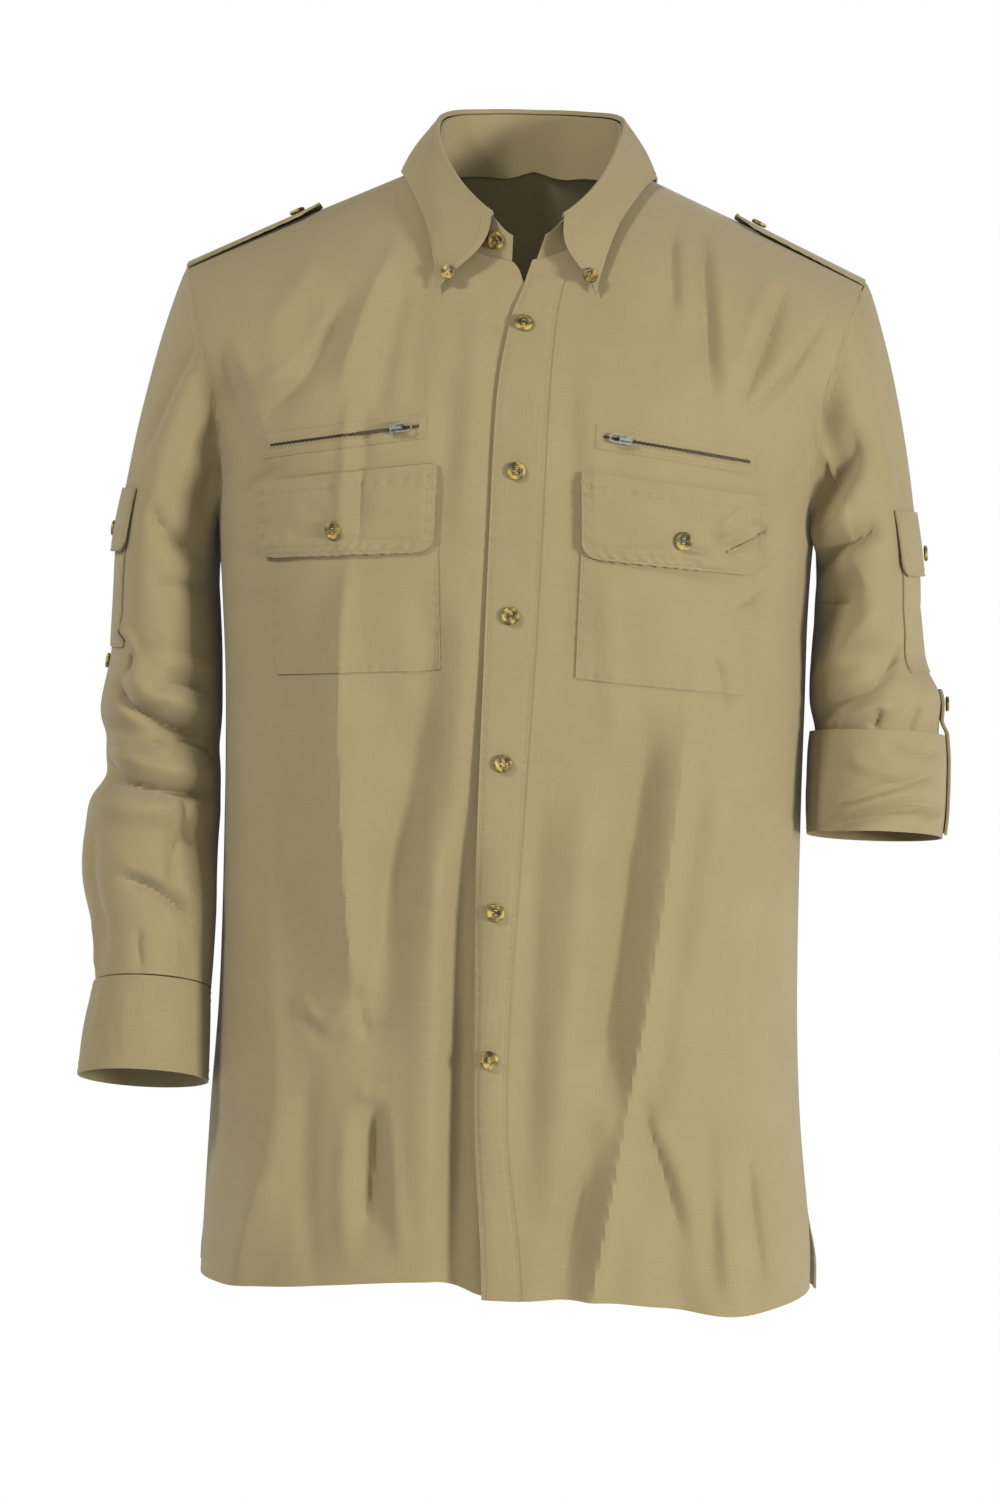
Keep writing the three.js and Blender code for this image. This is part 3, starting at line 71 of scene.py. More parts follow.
def read(rows, key, place):
    """Smooth reading of a table at places along one column: every other column's values."""
    xs = rows[key]
    place = np.clip(np.asarray(place, dtype=float), xs[0], xs[-1])
    i = np.clip(np.searchsorted(xs, place, side="right") - 1, 0, len(xs) - 2)
    step = xs[i + 1] - xs[i]
    t = (place - xs[i]) / step
    before = np.maximum(np.arange(len(xs)) - 1, 0)
    after = np.minimum(np.arange(len(xs)) + 1, len(xs) - 1)
    result = {}
    for name, ys in rows.items():
        slope = (ys[after] - ys[before]) / (xs[after] - xs[before])
        result[name] = (
            (2 * t**3 - 3 * t**2 + 1) * ys[i]
            + (t**3 - 2 * t**2 + t) * slope[i] * step
            + (3 * t**2 - 2 * t**3) * ys[i + 1]
            + (t**3 - t**2) * slope[i + 1] * step
        )
    return result


TORSO = table(
    "z half mid front back",
    (60, 285, 0, 44, 66),
    (10, 282, 0, 50, 84),
    (-22, 279, 0, 63, 98),
    (-60, 275, 0, 85, 112),
    (-100, 265, 0, 107, 119),
    (-133, 255, 0, 124, 121),
    (-163, 232, 0, 134, 119),
    (-205, 217, 0, 140, 115),
    (-245, 213, -1, 142, 112),
    (-300, 209.5, 0, 143, 112),
    (-361, 207.5, 2, 145, 114),
    (-450, 206.5, 3, 147, 117),
    (-578, 207.5, 4, 149, 121),
    (-662, 212, 4.5, 151, 125),
    (-750, 218.5, 8, 152, 130),
    (-800, 220, 8, 152, 132),
)
ARMHOLE = table(
    "tape out",
    (0, 243), (48, 237), (85, 228), (124, 218), (158, 210), (201, 206.5), (222, 207.5), (240, 213),
)
NECKLINE = table(
    "turn tape",
    (0, -151), (30, -116), (60, -63), (90, 0), (120, 27), (150, 48), (165, 61), (180, 66),
)
OVERLAP = table(
    "z left right proud open",
    (-56, 10, 37, 0, 17),
    (-78, 4, 31, 0, 0),
    (-100, -3, 28, 0, 0),
    (-150, -9.5, 26, 0, 0),
    (-242, -11.5, 24.5, 0, 0),
    (-334, -12.3, 22.5, 1, 0),
    (-475, -12.7, 17, 5, 0),
    (-560, -10.5, 13.5, 8, 0),
    (-660, -7.5, 14, 9, 0),
    (-740, -1, 25, 8, 0),
    (-800, 2, 30, 8, 0),
)
OVERLAP_SPREAD = 46.0
UNDERLAP = 6.0       # the right front passes this far behind the left one
UNDERLAP_DEPTH = 1.5
UNDERLAP_TOP = -72.0
UNDERLAP_FADE = 25.0
HEM_LOW = -790.0     # folds that reach this low run out over the hem
HEM_FRONT = table(
    "x z",
    (-212, -784), (-161, -779), (-34, -766), (7, -775), (73, -774), (126, -779), (184, -786), (228, -781),
)
HEM_BACK = table("x z", (-225, -783), (-110, -790), (0, -793), (110, -791), (232, -787))

# Large folds: a line from top to bottom, half width, height out of the body (a trough is negative)
FOLDS_FRONT = (
    (-107, -310, -89, -610, 15, 7),
    (-142, -380, -136, -620, 18, -4),
    (-62, -335, -84, -640, 17, -9),
    (-42, -420, -46, -760, 13, 4),
    (-22, -430, -18, -800, 15, -9),
    (-80, -610, -76, -760, 12, -6),
    (-152, -640, -184, -800, 16, 7),
    (-94, -48, -122, -170, 15, 6),
    (-116, -75, -178, -185, 13, -6),
    (-196, -110, -186, -225, 14, -5),
    (108, -45, 109, -130, 12, -3),
    (130, -50, 136, -170, 13, -4),
    (182, -60, 158, -172, 14, -6),
    (224, -95, 186, -225, 17, -9),
    (128, -350, 98, -650, 14, 7),
    (103, -350, 74, -650, 16, -8),
    (96, -640, 74, -800, 13, 6),
    (74, -640, 50, -800, 14, -6),
    (106, -620, 138, -790, 15, -6),
    (60, -400, 44, -790, 22, 6),
    (165, -380, 172, -800, 20, 6),
)
FOLDS_BACK = (
    (-150, -130, -128, -420, 18, -7),
    (-96, -260, -104, -800, 22, -8),
    (-42, -180, -50, -800, 22, 7),
    (6, -240, 2, -800, 20, -8),
    (52, -200, 60, -800, 22, 7),
    (108, -280, 112, -800, 20, -9),
    (152, -140, 134, -400, 18, -6),
    (-160, -480, -168, -800, 18, 6),
    (162, -500, 170, -800, 18, 6),
)
SOFT, CRISP = 0, 1
CREST = 3.2          # a crisp crease is rounded over about this width
# Creases that only the looks hold: start, middle and end, half width, height, kind of profile
CREASES_FRONT = (
    ((-104, -250), (-111, -400), (-89, -616), 10, 7.5, CRISP),
    ((-54, -266), (-54, -400), (-84, -572), 11, -6.0, SOFT),
    ((-30, -270), (-28, -400), (-48, -600), 8, 2.4, SOFT),
    ((-150, -300), (-152, -430), (-140, -620), 10, -1.6, SOFT),
    ((-176, -320), (-182, -450), (-174, -600), 9, 2.2, SOFT),
    ((-160, -560), (-150, -660), (-160, -780), 10, 3.2, SOFT),
    ((-122, -600), (-126, -700), (-112, -790), 9, -3.2, SOFT),
    ((-138, -562), (-118, -590), (-96, -574), 4.5, 3.0, CRISP),
    ((-132, -584), (-114, -604), (-98, -592), 5, -2.2, SOFT),
    ((-92, -560), (-90, -582), (-84, -606), 4, -3.4, CRISP),
    ((-92, -628), (-82, -640), (-72, -630), 4, 3.0, CRISP),
    ((-80, -638), (-77, -690), (-86, -742), 5, -5.5, CRISP),
    ((-70, -630), (-62, -700), (-54, -760), 6, 3.4, SOFT),
    ((-96, -640), (-98, -700), (-94, -770), 7, 3.0, SOFT),
    ((-188, -540), (-191, -620), (-186, -700), 8, 3.8, CRISP),
    ((-156, -690), (-168, -735), (-184, -795), 10, 3.8, CRISP),
    ((-40, -420), (-36, -600), (-38, -780), 7, 2.6, SOFT),
    ((-20, -540), (-18, -660), (-18, -800), 7, -3.0, SOFT),
    ((-184, -360), (-178, -430), (-182, -520), 8, 1.6, SOFT),
    ((-82, -36), (-104, -96), (-122, -168), 8, 4.4, CRISP),
    ((-78, -60), (-86, -120), (-96, -190), 9, -4.0, SOFT),
    ((-120, -84), (-138, -140), (-184, -182), 7, -4.0, CRISP),
    ((-126, -78), (-148, -128), (-190, -160), 7, 3.2, SOFT),
    ((-112, -150), (-114, -210), (-112, -276), 4.5, 2.6, CRISP),
    ((-100, -150), (-100, -210), (-100, -276), 5, -2.4, CRISP),
    ((-60, -60), (-67, -110), (-66, -185), 9, -2.2, SOFT),
    ((-208, -115), (-194, -165), (-178, -215), 8, -4.4, CRISP),
    ((-200, -110), (-184, -160), (-166, -214), 8, 3.0, SOFT),
    ((-140, -48), (-156, -84), (-178, -118), 10, 2.8, SOFT),
    ((-192, -236), (-176, -218), (-150, -206), 5, -3.0, CRISP),
    ((-198, -262), (-178, -270), (-156, -268), 4.5, -2.6, CRISP),
    ((-200, -284), (-182, -292), (-166, -288), 5, 2.0, SOFT),
    ((-30, -80), (-26, -150), (-30, -260), 8, 2.6, SOFT),
    ((-46, -120), (-44, -200), (-44, -290), 8, -2.2, SOFT),
    ((134, -320), (116, -510), (92, -676), 9, 6.5, CRISP),
    ((100, -350), (92, -490), (74, -640), 9, -4.0, SOFT),
    ((66, -262), (74, -330), (82, -420), 9, 2.4, SOFT),
    ((106, -560), (90, -690), (68, -815), 8, 6.0, CRISP),
    ((76, -640), (66, -700), (50, -792), 8, -3.6, SOFT),
    ((99, -622), (120, -680), (140, -746), 6, -3.6, CRISP),
    ((92, -628), (66, -680), (40, -730), 7, 2.4, CRISP),
    ((108, -640), (130, -680), (150, -736), 8, 3.2, SOFT),
    ((62, -370), (56, -560), (40, -740), 13, 2.8, SOFT),
    ((156, -390), (143, -530), (132, -660), 13, 2.6, SOFT),
    ((146, -380), (164, -420), (186, -470), 6, -2.0, CRISP),
    ((178, -660), (186, -725), (196, -776), 8, -10.0, CRISP),
    ((162, -690), (170, -740), (176, -784), 8, 5.0, SOFT),
    ((150, -640), (156, -710), (158, -784), 8, -3.4, SOFT),
    ((176, -420), (182, -520), (178, -620), 10, -2.2, SOFT),
    ((104, -24), (106, -60), (108, -98), 5, -3.8, CRISP),
    ((112, -30), (116, -70), (120, -110), 6, 2.6, SOFT),
    ((124, -20), (131, -90), (138, -170), 6, -4.6, CRISP),
    ((134, -30), (142, -90), (148, -160), 7, 3.4, SOFT),
    ((184, -60), (174, -112), (150, -176), 6, -5.0, CRISP),
    ((176, -56), (162, -108), (140, -168), 7, 3.6, SOFT),
    ((214, -84), (192, -128), (150, -176), 6, -5.0, CRISP),
    ((232, -78), (214, -150), (184, -218), 8, -6.6, CRISP),
    ((206, -96), (197, -150), (176, -204), 8, 3.6, SOFT),
    ((184, -234), (162, -250), (140, -263), 4.5, -4.4, CRISP),
    ((186, -222), (162, -236), (138, -250), 6, 3.0, SOFT),
    ((190, -262), (172, -284), (150, -300), 5, -3.2, CRISP),
    ((178, -298), (162, -320), (152, -348), 7, 2.4, SOFT),
    ((140, -318), (150, -348), (158, -382), 5, -3.0, CRISP),
    ((198, -240), (186, -262), (172, -278), 5, 2.6, CRISP),
    ((38, -110), (42, -240), (40, -400), 8, -2.2, SOFT),
    ((31, -420), (27, -560), (29, -720), 8, -2.4, SOFT),
    ((52, -150), (60, -196), (70, -232), 9, 1.8, SOFT),
    ((-204, -254), (0, -258), (204, -255), 2.2, -0.9, CRISP),
    ((-190, -588), (0, -594), (196, -592), 2.2, -0.6, CRISP),
)
CREASES_BACK = (
    ((-196, -120), (-168, -190), (-148, -280), 9, -3.4, CRISP),
    ((198, -122), (170, -195), (150, -285), 9, -3.4, CRISP),
    ((-176, -140), (-140, -240), (-128, -360), 11, 2.8, SOFT),
    ((178, -142), (144, -250), (132, -370), 11, 2.8, SOFT),
    ((-30, -108), (-34, -170), (-40, -260), 10, 2.2, SOFT),
    ((30, -110), (36, -175), (38, -250), 10, -2.2, SOFT),
    ((-72, -280), (-80, -400), (-74, -540), 10, -3.2, CRISP),
    ((80, -320), (90, -440), (84, -590), 10, -3.4, CRISP),
    ((-132, -420), (-138, -560), (-146, -730), 11, 3.2, SOFT),
    ((136, -440), (140, -580), (148, -740), 11, 3.2, SOFT),
    ((22, -400), (28, -520), (24, -680), 9, 3.0, CRISP),
    ((-24, -470), (-20, -590), (-30, -730), 9, -2.8, CRISP),
    ((-188, -300), (-176, -400), (-178, -520), 9, -2.8, SOFT),
    ((190, -320), (180, -420), (182, -540), 9, -2.8, SOFT),
    ((-60, -610), (-66, -680), (-58, -760), 7, -2.4, CRISP),
    ((94, -640), (100, -700), (92, -770), 7, 2.4, SOFT),
    ((-110, -640), (-100, -700), (-108, -780), 8, 2.4, CRISP),
    ((54, -560), (48, -660), (56, -780), 9, -2.8, CRISP),
    ((-200, -262), (0, -266), (200, -262), 2.2, -0.6, CRISP),
)
FOLD_FADE = 70.0


def ease(t):
    k = np.clip(t, 0, 1)
    return k * k * (3 - 2 * k)


def lerp(a, b, t):
    return a + (b - a) * t


def ridge_z(x):
    return NECK_Z - SLOPE * (np.abs(x) - NECK_HALF)


def drop_of(tape):
    near = ROUND * (1 - np.cos(np.minimum(tape, QUARTER) / ROUND))
    return np.where(tape < QUARTER, near, ROUND + tape - QUARTER)


def tape_of(x, z):
    drop = np.maximum(ridge_z(x) - z, 0)
    near = ROUND * np.arccos(np.clip(1 - drop / ROUND, -1, 1))
    return np.where(drop < ROUND, near, QUARTER + drop - ROUND)


def fold_height(folds, x, z):
    total = np.zeros(np.broadcast(x, z).shape)
    for x0, z0, x1, z1, wide, high in folds:
        t = (z - z0) / (z1 - z0)
        off = (x - lerp(x0, x1, t)) / wide
        length = z0 - z1
        start = ease(t * length / FOLD_FADE)
        end = 1.0 if z1 <= HEM_LOW else ease((1 - t) * length / FOLD_FADE)
        total = total + high * np.exp(-(off**2)) * start * end
    return total


CREASE_PARTS = 8     # straight parts that stand for a crease's curve
CREASE_FADE = 0.3    # share of its length over which a crease rises at each end
CRISP_FALL = 2.6     # how steeply a crisp crease falls off


def crease_height(creases, a, b, wrap=None):
    """Creases along soft curves, each with its own width, height and fading ends."""
    a, b = np.broadcast_arrays(np.asarray(a, float), np.asarray(b, float))
    total = np.zeros(a.shape)
    for start, through, end, wide, high, kind in creases:
        start, through, end = (np.array(p, float) for p in (start, through, end))
        control = 2 * through - (start + end) / 2
        k = np.linspace(0, 1, CREASE_PARTS + 1)[:, None]
        line = (1 - k) ** 2 * start + 2 * k * (1 - k) * control + k**2 * end
        away = a - through[0]
        if wrap:
            away = (away + wrap / 2) % wrap - wrap / 2
        reach = 4 * wide
        low, top = line.min(axis=0) - reach, line.max(axis=0) + reach
        near = (away > low[0] - through[0]) & (away < top[0] - through[0]) & (b > low[1]) & (b < top[1])
        if not near.any():
            continue
        pa, pb = away[near] + through[0], b[near]
        best, place = np.full(pa.shape, 1e9), np.zeros(pa.shape)
        for i in range(CREASE_PARTS):
            way = line[i + 1] - line[i]
            t = np.clip(((pa - line[i, 0]) * way[0] + (pb - line[i, 1]) * way[1]) / (way @ way), 0, 1)
            far = np.hypot(pa - line[i, 0] - t * way[0], pb - line[i, 1] - t * way[1])
            closer = far < best
            best = np.where(closer, far, best)
            place = np.where(closer, (i + t) / CREASE_PARTS, place)
        off = best / wide
        crest = CREST / wide
        shape = -(off**2) if kind == SOFT else crest - np.sqrt(CRISP_FALL * off**2 + crest**2)
        total[near] += high * np.exp(shape) * ease(place / CREASE_FADE) * ease((1 - place) / CREASE_FADE)
    return total


def ripple(a, b, seed, size):
    """Smooth uneven waves with no repeat in view: a few crossed sines with set phases."""
    rng = np.random.default_rng(seed)
    total = np.zeros(np.broadcast(a, b).shape)
    for _ in range(7):
        angle = rng.uniform(0, math.pi)
        scale = size * rng.uniform(0.6, 1.7)
        phase = rng.uniform(0, 2 * math.pi, 2)
        along = (a * math.cos(angle) + b * math.sin(angle)) / scale
        across = (-a * math.sin(angle) + b * math.cos(angle)) / (scale * 1.9)
        total = total + np.sin(along + phase[0] + 1.3 * np.sin(across + phase[1]))
    return total / 7


# Rumpled surface of the body: height, share of the height taken, seed for the front, size
RUMPLE = ((1.4, 0.4, 11, 15.0), (0.5, 0.7, 13, 6.0))


def depth_at(side, x, z):
    row = read(TORSO, "z", z)
    s = np.minimum(np.abs(x - row["mid"]) / row["half"], 1)
    across = (1 - s**SQUARE) ** (1 / SQUARE)
    drop = np.maximum(ridge_z(x) - z, 0)
    over = np.where(drop < ROUND, np.sqrt(np.maximum(1 - (1 - drop / ROUND) ** 2, 0)), 1)
    folds, creases = (FOLDS_FRONT, CREASES_FRONT) if side < 0 else (FOLDS_BACK, CREASES_BACK)
    big = fold_height(folds, x, z) + crease_height(creases, x, z)
    for high, share, seed, size in RUMPLE:
        big = big + high * ripple(x, z * share, seed if side < 0 else seed + 1, size)
    base = np.where(side < 0, row["front"], row["back"]) * across * over
    return base + big * np.minimum(across * over * 1.4, 1)


def shell_at(side, x, z):
    x, z = np.broadcast_arrays(np.asarray(x, float), np.asarray(z, float))
    return np.stack([x, side * depth_at(side, x, z), z], axis=-1)


def shell_tape(x, tape):
    x, tape = np.broadcast_arrays(np.asarray(x, float), np.asarray(tape, float))
    z = ridge_z(x) - drop_of(np.abs(tape))
    front = -depth_at(-1, x, z)
    behind = depth_at(1, x, z)
    return np.stack([x, np.where(tape < 0, front, behind), z], axis=-1)


def underlap_at(z):
    """How far the right front has passed behind the left one at a height, 0 to 1."""
    return ease((UNDERLAP_TOP - z) / UNDERLAP_FADE)


def front_at(sign, x, z):
    p = shell_at(-1, x, z)
    row = read(OVERLAP, "z", z)
    if sign > 0:
        p[..., 1] -= row["proud"] * (1 - ease((x - row["left"]) / OVERLAP_SPREAD))
    else:
        p[..., 1] += UNDERLAP_DEPTH * ease((x - row["left"]) / UNDERLAP + 1) * underlap_at(z)
    return p


def unit(v):
    return v / np.maximum(np.linalg.norm(v, axis=-1, keepdims=True), 1e-9)


NORMAL_STEP = 3.0    # distance to the points from which a surface's slope is taken


def normal_of(surface, a, b, step=NORMAL_STEP, out=1):
    da = surface(a + step, b) - surface(a - step, b)
    db = surface(a, b + step) - surface(a, b - step)
    return unit(np.cross(da, db)) * out


def on_front(sign, x, z, height):
    x, z = np.asarray(x, float), np.asarray(z, float)
    lift = np.asarray(height, float)[..., None]
    return front_at(sign, x, z) + normal_of(partial(front_at, sign), x, z) * lift


# Materials
def set_inputs(node, **values):
    """Sets a node's inputs; an underscore in a name stands for a space."""
    for name, value in values.items():
        node.inputs[name.replace("_", " ")].default_value = value


def material(name, colour, roughness, metallic=0.0):
    made = bpy.data.materials.new(name)
    made.use_nodes = True
    shader = made.node_tree.nodes["Principled BSDF"]
    set_inputs(shader, Base_Color=(*colour, 1), Roughness=roughness, Metallic=metallic)
    return made, made.node_tree.nodes, made.node_tree.links, shader


def feed(links, socket, value):
    """Gives a socket another node's output, a colour or a number."""
    if hasattr(value, "is_output"):
        links.new(value, socket)
    else:
        socket.default_value = (*value, 1) if isinstance(value, tuple) else value


def mix(nodes, links, blend, factor, a, b):
    node = nodes.new("ShaderNodeMix")
    node.data_type = "RGBA"
    node.blend_type = blend
    for socket, value in ((0, factor), (6, a), (7, b)):
        feed(links, node.inputs[socket], value)
    return node.outputs[2]


def maths(nodes, links, operation, a, b=0.0):
    node = nodes.new("ShaderNodeMath")
    node.operation = operation
    feed(links, node.inputs[0], a)
    feed(links, node.inputs[1], b)
    return node.outputs[0]


def map_range(nodes, links, value, *limits, kind="LINEAR"):
    """The value's range from the first two limits taken to the last two."""
    node = nodes.new("ShaderNodeMapRange")
    node.interpolation_type = kind
    links.new(value, node.inputs["Value"])
    for socket, limit in zip(node.inputs[1:5], limits):
        socket.default_value = limit
    return node.outputs[0]


def noise(nodes, links, vector, scale, detail=2.0, stretch=(1, 1, 1)):
    mapping = nodes.new("ShaderNodeMapping")
    mapping.inputs["Scale"].default_value = stretch
    links.new(vector, mapping.inputs["Vector"])
    node = nodes.new("ShaderNodeTexNoise")
    set_inputs(node, Scale=scale, Detail=detail)
    links.new(mapping.outputs[0], node.inputs["Vector"])
    return node.outputs["Fac"]


KHAKI = (0.268, 0.219, 0.112)
KHAKI_DEEP = (0.252, 0.204, 0.101)
KHAKI_PALE = (0.284, 0.234, 0.123)
SLUB_LONG, SLUB_FINE = 0.9, 0.03     # stretch of the slubs across and along their threads
WEAVE_SCALE = 0.62


def cloth_material(name, tone=1.0):
    """Fine plain-weave cotton; the weave follows each piece's own grain, in millimetres."""
    plain, deep, pale = (tuple(c * tone for c in colour) for colour in (KHAKI, KHAKI_DEEP, KHAKI_PALE))
    made, nodes, links, shader = material(name, plain, 0.88)
    grain = nodes.new("ShaderNodeAttribute")
    grain.attribute_name = "grain"
    vector = grain.outputs["Vector"]
    patches = noise(nodes, links, vector, 0.02, 3.0)
    slub_warp = noise(nodes, links, vector, 1.0, 2.0, (SLUB_LONG, SLUB_FINE, 1))
    slub_weft = noise(nodes, links, vector, 1.0, 2.0, (SLUB_FINE, SLUB_LONG, 1))
    colour = mix(nodes, links, "MIX", patches, deep, pale)
    slubs = maths(nodes, links, "MULTIPLY", slub_warp, slub_weft)
    shade = map_range(nodes, links, slubs, 0.1, 0.45, 0.945, 1.045)
    colour = mix(nodes, links, "MULTIPLY", 1.0, colour, shade)
    links.new(colour, shader.inputs["Base Color"])
    set_inputs(shader, Sheen_Weight=0.18, Sheen_Roughness=0.5, Specular_IOR_Level=0.25)
    weave = []
    for direction in ("X", "Y"):
        wave = nodes.new("ShaderNodeTexWave")
        wave.bands_direction = direction
        set_inputs(wave, Scale=WEAVE_SCALE, Distortion=0.6, Detail=1.0)
        links.new(vector, wave.inputs["Vector"])
        weave.append(wave.outputs["Fac"])
    threads = maths(nodes, links, "MULTIPLY", weave[0], weave[1])
    rough = noise(nodes, links, vector, 0.5, 4.0)
    relief = maths(nodes, links, "ADD", threads, maths(nodes, links, "MULTIPLY", rough, 0.5))
    relief = maths(nodes, links, "ADD", relief, slubs)
    bump = nodes.new("ShaderNodeBump")
    set_inputs(bump, Strength=0.2, Distance=0.0004)
    links.new(relief, bump.inputs["Height"])
    links.new(bump.outputs["Normal"], shader.inputs["Normal"])
    return made


def mottled_material(name, colour, roughness, metallic, scale, detail, tones):
    """A plain surface whose colour wanders between two tones; also gives its parts."""
    made, nodes, links, shader = material(name, colour, roughness, metallic)
    where = nodes.new("ShaderNodeTexCoord").outputs["Object"]
    wear = noise(nodes, links, where, scale, detail)
    if tones:
        links.new(mix(nodes, links, "MIX", wear, *tones), shader.inputs["Base Color"])
    return made, nodes, links, shader, wear


def thread_material():
    tones = (0.27, 0.218, 0.113), (0.35, 0.287, 0.158)
    made, _, _, shader, _ = mottled_material("thread", (0.27, 0.218, 0.112), 0.8, 0.0, 60, 1.0, tones)
    set_inputs(shader, Sheen_Weight=0.2)
    return made


# Horn: place and colour of each tone of its mottling
HORN_TONES = ((0.36, (0.022, 0.013, 0.004)), (0.5, (0.16, 0.105, 0.02)), (0.62, (0.43, 0.315, 0.075)))


def horn_material():
    parts = mottled_material("horn", (0.2, 0.13, 0.04), 0.48, 0.0, 210, 5.0, None)
    made, nodes, links, shader, mottle = parts
    ramp = nodes.new("ShaderNodeValToRGB")
    stops = ramp.color_ramp.elements
    stops.new(0.5)
    for stop, (place, colour) in zip(stops, HORN_TONES):
        stop.position = place
        stop.color = (*colour, 1)
    links.new(mottle, ramp.inputs["Fac"])
    links.new(ramp.outputs["Color"], shader.inputs["Base Color"])
    set_inputs(shader, Coat_Weight=0.06, Coat_Roughness=0.25)
    return made


def metal_material():
    tones = (0.17, 0.16, 0.145), (0.36, 0.35, 0.325)
    return mottled_material("zip_metal", (0.3, 0.29, 0.27), 0.4, 1.0, 400, 3.0, tones)[0]


def zip_material():
    tones = (0.03, 0.025, 0.015), (0.09, 0.075, 0.045)
    made, _, _, shader, _ = mottled_material("zip_chain", (0.11, 0.095, 0.06), 0.7, 0.0, 300, 2.0, tones)
    set_inputs(shader, Specular_IOR_Level=0.15)
    return made


CLOTH_LOOK = cloth_material("khaki_cotton")
CLOTH_DOUBLE = cloth_material("khaki_cotton_doubled", 0.985)
THREAD = thread_material()
HORN = horn_material()
METAL = metal_material()
ZIP_CHAIN = zip_material()


# Meshes
def new_object(name, verts, faces, look, grain=None, sharp=38):
    mesh = bpy.data.meshes.new(name)
    mesh.from_pydata((np.asarray(verts) * MM).tolist(), [], faces)
    mesh.materials.append(look)
    mesh.polygons.foreach_set("use_smooth", [True] * len(mesh.polygons))
    mesh.set_sharp_from_angle(angle=math.radians(sharp))
    if grain is not None:
        layer = mesh.attributes.new("grain", "FLOAT_VECTOR", "POINT")
        layer.data.foreach_set("vector", np.asarray(grain, dtype=np.float32).ravel())
    piece = bpy.data.objects.new(name, mesh)
    bpy.context.collection.objects.link(piece)
    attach(piece, BODY)
    return piece


def lengths(rows, axis):
    """Running length of each point along its row or column."""
    step = np.linalg.norm(np.diff(rows, axis=axis), axis=-1)
    zero = np.zeros_like(np.take(step, [0], axis=axis))
    return np.concatenate([zero, np.cumsum(step, axis=axis)], axis=axis)


def running(points):
    """Length along a line of points, from its start to each of them."""
    return np.concatenate([[0], np.cumsum(np.linalg.norm(np.diff(points, axis=0), axis=1))])


def sample(places, run, points):
    """Points at places along a line whose running length is given."""
    return np.stack([np.interp(places, run, points[:, i]) for i in range(3)], axis=1)


def grid_normals(rows, closed, out, start_way=None):
    if closed:
        along = np.roll(rows, -1, axis=1) - np.roll(rows, 1, axis=1)
    else:
        along = np.gradient(rows, axis=1)
    up = np.gradient(rows, axis=0)
    if start_way is not None:
        up[0] = start_way
    return unit(np.cross(along, up)) * out


def shell(
    name, rows, thick=CLOTH, closed=False, out=1, look=None, node=None, offset=(0, 0),
    start_way=None, cut=None,
):
    """A closed cloth wall: the rows are its outer face, the inner face is moved in."""
    nv, nu = rows.shape[:2]
    normals = grid_normals(rows, closed, out, start_way)
    thickness = np.broadcast_to(np.asarray(thick, float), (nv, nu))[..., None]
    inner = rows - normals * thickness
    verts = np.concatenate([rows.reshape(-1, 3), inner.reshape(-1, 3)])
    index = np.arange(nv * nu).reshape(nv, nu)
    right = np.roll(index, -1, axis=1) if closed else index[:, 1:]
    left = index if closed else index[:, :-1]
    faces = np.stack([left[:-1], right[:-1], right[1:], left[1:]], axis=-1).reshape(-1, 4)
    edges = [(right[0], left[0]), (left[-1], right[-1])]
    if not closed:
        edges += [(index[:-1, 0], index[1:, 0]), (index[1:, -1], index[:-1, -1])]
    rims = [np.stack([a, b, b + nv * nu, a + nv * nu], axis=-1) for a, b in edges]
    faces = np.concatenate([faces, faces[:, ::-1] + nv * nu, *rims])
    if out < 0:
        faces = faces[:, ::-1]
    across, down = lengths(rows, 1), lengths(rows, 0)
    grain = np.stack([across + offset[0], down + offset[1], np.zeros_like(across)], axis=-1).reshape(-1, 3)
    grain = np.concatenate([grain, grain])
    piece = new_object(name, verts, faces.tolist(), look or CLOTH_LOOK, grain)
    if node:
        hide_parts(node)
    quads = np.cross(rows[1:, 1:] - rows[:-1, :-1], rows[1:, :-1] - rows[:-1, 1:])
    area = np.linalg.norm(quads, axis=-1).sum() / 2
    if closed:
        seam = np.cross(rows[1:, 0] - rows[:-1, -1], rows[1:, -1] - rows[:-1, 0])
        area += np.linalg.norm(seam, axis=-1).sum() / 2
    loop = np.linalg.norm(rows[:, 0] - rows[:, -1], axis=-1).max() if closed else 0
    width, length = cut or (across[:, -1].max() + loop, down[-1].max())
    area = min(area, width * length)
    return piece


def plane(columns, rows):
    """Grids of u across and v up, both 0 to 1."""
    return np.meshgrid(np.linspace(0, 1, columns + 1), np.linspace(0, 1, rows + 1))


# Stitches: short raised threads in a row along a line on the cloth
STITCH = {"long": 2.3, "step": 3.1, "radius": 0.3, "lift": 0.12, "reach": 0.8}
STITCH_FULL = 0.55   # share of its half length over which a stitch keeps its full radius
STITCH_DIP = 0.25    # its ends lie this share of its radius lower
stitch_sets = {}


